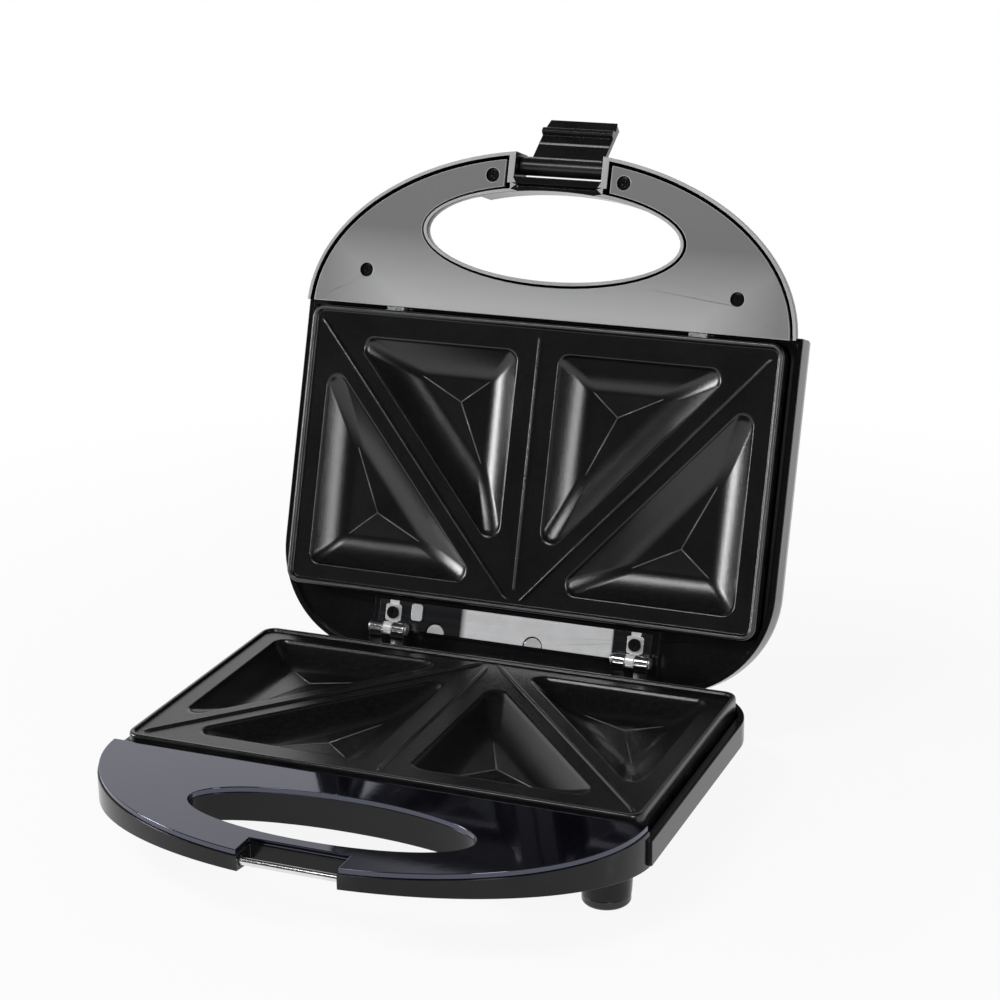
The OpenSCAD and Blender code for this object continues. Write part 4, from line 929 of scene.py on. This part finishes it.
def clear(name, tint, pale, smooth):
    """A clear plastic or glass with a breath of haze."""
    made, tree, shader = new_material(name)
    skin = use_group(tree, cast_skin, Pebbles_a_metre=900.0, Clouds_a_metre=150.0, Flow=0.5)
    set_shader(tree, shader, Base_Color=blend_colours(tree, skin["Clouds"], tint, pale), IOR=1.5,
               Transmission_Weight=0.85, Roughness=spread(tree, skin["Clouds"], smooth, smooth + haze),
               Normal=bump(tree, skin["Height"], 0.05))
    return made


dress(["power_lens"], clear("lens_red", (0.6, 0.02, 0.015), (0.75, 0.06, 0.04), smooth=0.06), 0.0003)
dress(["ready_lens"], clear("lens_green", (0.03, 0.45, 0.08), (0.06, 0.6, 0.14), smooth=0.06), 0.0003)
dress(["indicator_lamps"], clear("lamp_glass", (0.85, 0.83, 0.78), (0.95, 0.94, 0.9), smooth=0.03), 0.0002)

# ---------------------------------------------------------------------------------------------------
# Latch. A ribbed flap of tough black nylon on a steel pin across the lid's notch. Its lip is for the
# thumb, and the barb behind it hooks under the catch rod.
latch_black = moulded(
    "latch_black", (0.004, 0.004, 0.0045), (0.008, 0.008, 0.0085), smooth=0.26, rough=0.3,
    pebbles=2600, clouds=60, flow=0.2, strength=0.02, worn=(0.02, 0.02, 0.02))
# Pale grey for the ridges on the flap and barrel: painted highlights along them.
ridge_painted_highlight = coat("latch_ridge_painted_highlight", (0.16, 0.16, 0.162), (0.22, 0.22, 0.222),
                  rubbed=(0.4, 0.4, 0.4), smooth=0.2, rough=0.22)
latch_place = Vector(find_joint("latch_pivot")["pos_m"])
latch_rest = math.radians(140)
latch_turn = Matrix.Rotation(latch_rest - lid_open, 4, "X")
half_to_latch = Matrix.Translation(latch_place) @ latch_turn @ millimetre
barrel_r = 4.0
barrel_half = 19.7
flap_half = 16.5
flap_len = 32.9
flap_front = 1.0
flap_back = -1.6
barrel_steps = 48
barrel_ridge = math.radians(62)
flap_ridge_u = 14
ridge_steps = 12


def prism(mesh, side_view, half_width, finish=0, slant=0.0):
    """A bar across the latch, from its side view; slant draws in its sides towards the flap's tip."""
    ends = []
    slant_from = flap_len - 2 * slant
    for side in (-1, 1):
        ends.append([mesh.verts.new((side * (half_width - max(0, u - slant_from) * slant / 4), u, s))
                     for u, s in side_view])
    bridge(mesh, ends[0], ends[1], finish)
    for end in ends:
        mesh.faces.new(end).material_index = finish


def rounded_bar(u, s, r):
    """A low half-round ridge standing on the flap's face."""
    angles = [math.pi * step / ridge_steps for step in range(ridge_steps + 1)]
    return [(u + r * math.cos(angle), s + 0.8 * r * math.sin(angle)) for angle in angles]


mesh = bmesh.new()
barrel_angles = [math.tau * step / barrel_steps for step in range(barrel_steps)]
barrel_side = [(barrel_r * math.cos(angle), barrel_r * math.sin(angle)) for angle in barrel_angles]
prism(mesh, barrel_side, barrel_half)
flap_tip = [(flap_len - 2.6, flap_back - 3.1), (flap_len - 2, flap_back - 3.4), (flap_len, flap_back - 3.4),
            (flap_len, flap_back - 1.2), (flap_len - 1.2, flap_back + 0.6), (flap_len - 3.4, flap_front)]
barb = [(24, flap_front), (22.2, 3.3), (21.6, 3.6), (20, 3.6), (19.4, 3), (19.4, flap_front)]
flap_side = [(0, flap_back), (flap_len - 7, flap_back)] + flap_tip + barb + [(0, flap_front)]
prism(mesh, flap_side, flap_half, slant=2.4)
prism(mesh, rounded_bar(flap_ridge_u, flap_front - 0.05, 0.65), flap_half - 0.1, 1)
prism(mesh, rounded_bar(barrel_r * math.cos(barrel_ridge), barrel_r * math.sin(barrel_ridge) - 0.15, 0.6),
      barrel_half - 2.4, 1)
latch = finish_mesh(mesh, "latch_flap", half_to_latch, latch_black, ridge_painted_highlight)
round_edges(latch, 0.00015)
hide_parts("latch")
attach(latch, "latch")
dress(["latch_pin"], zinc_steel, 0.0001)

scene = bpy.context.scene
scene.view_settings.view_transform = "Standard"
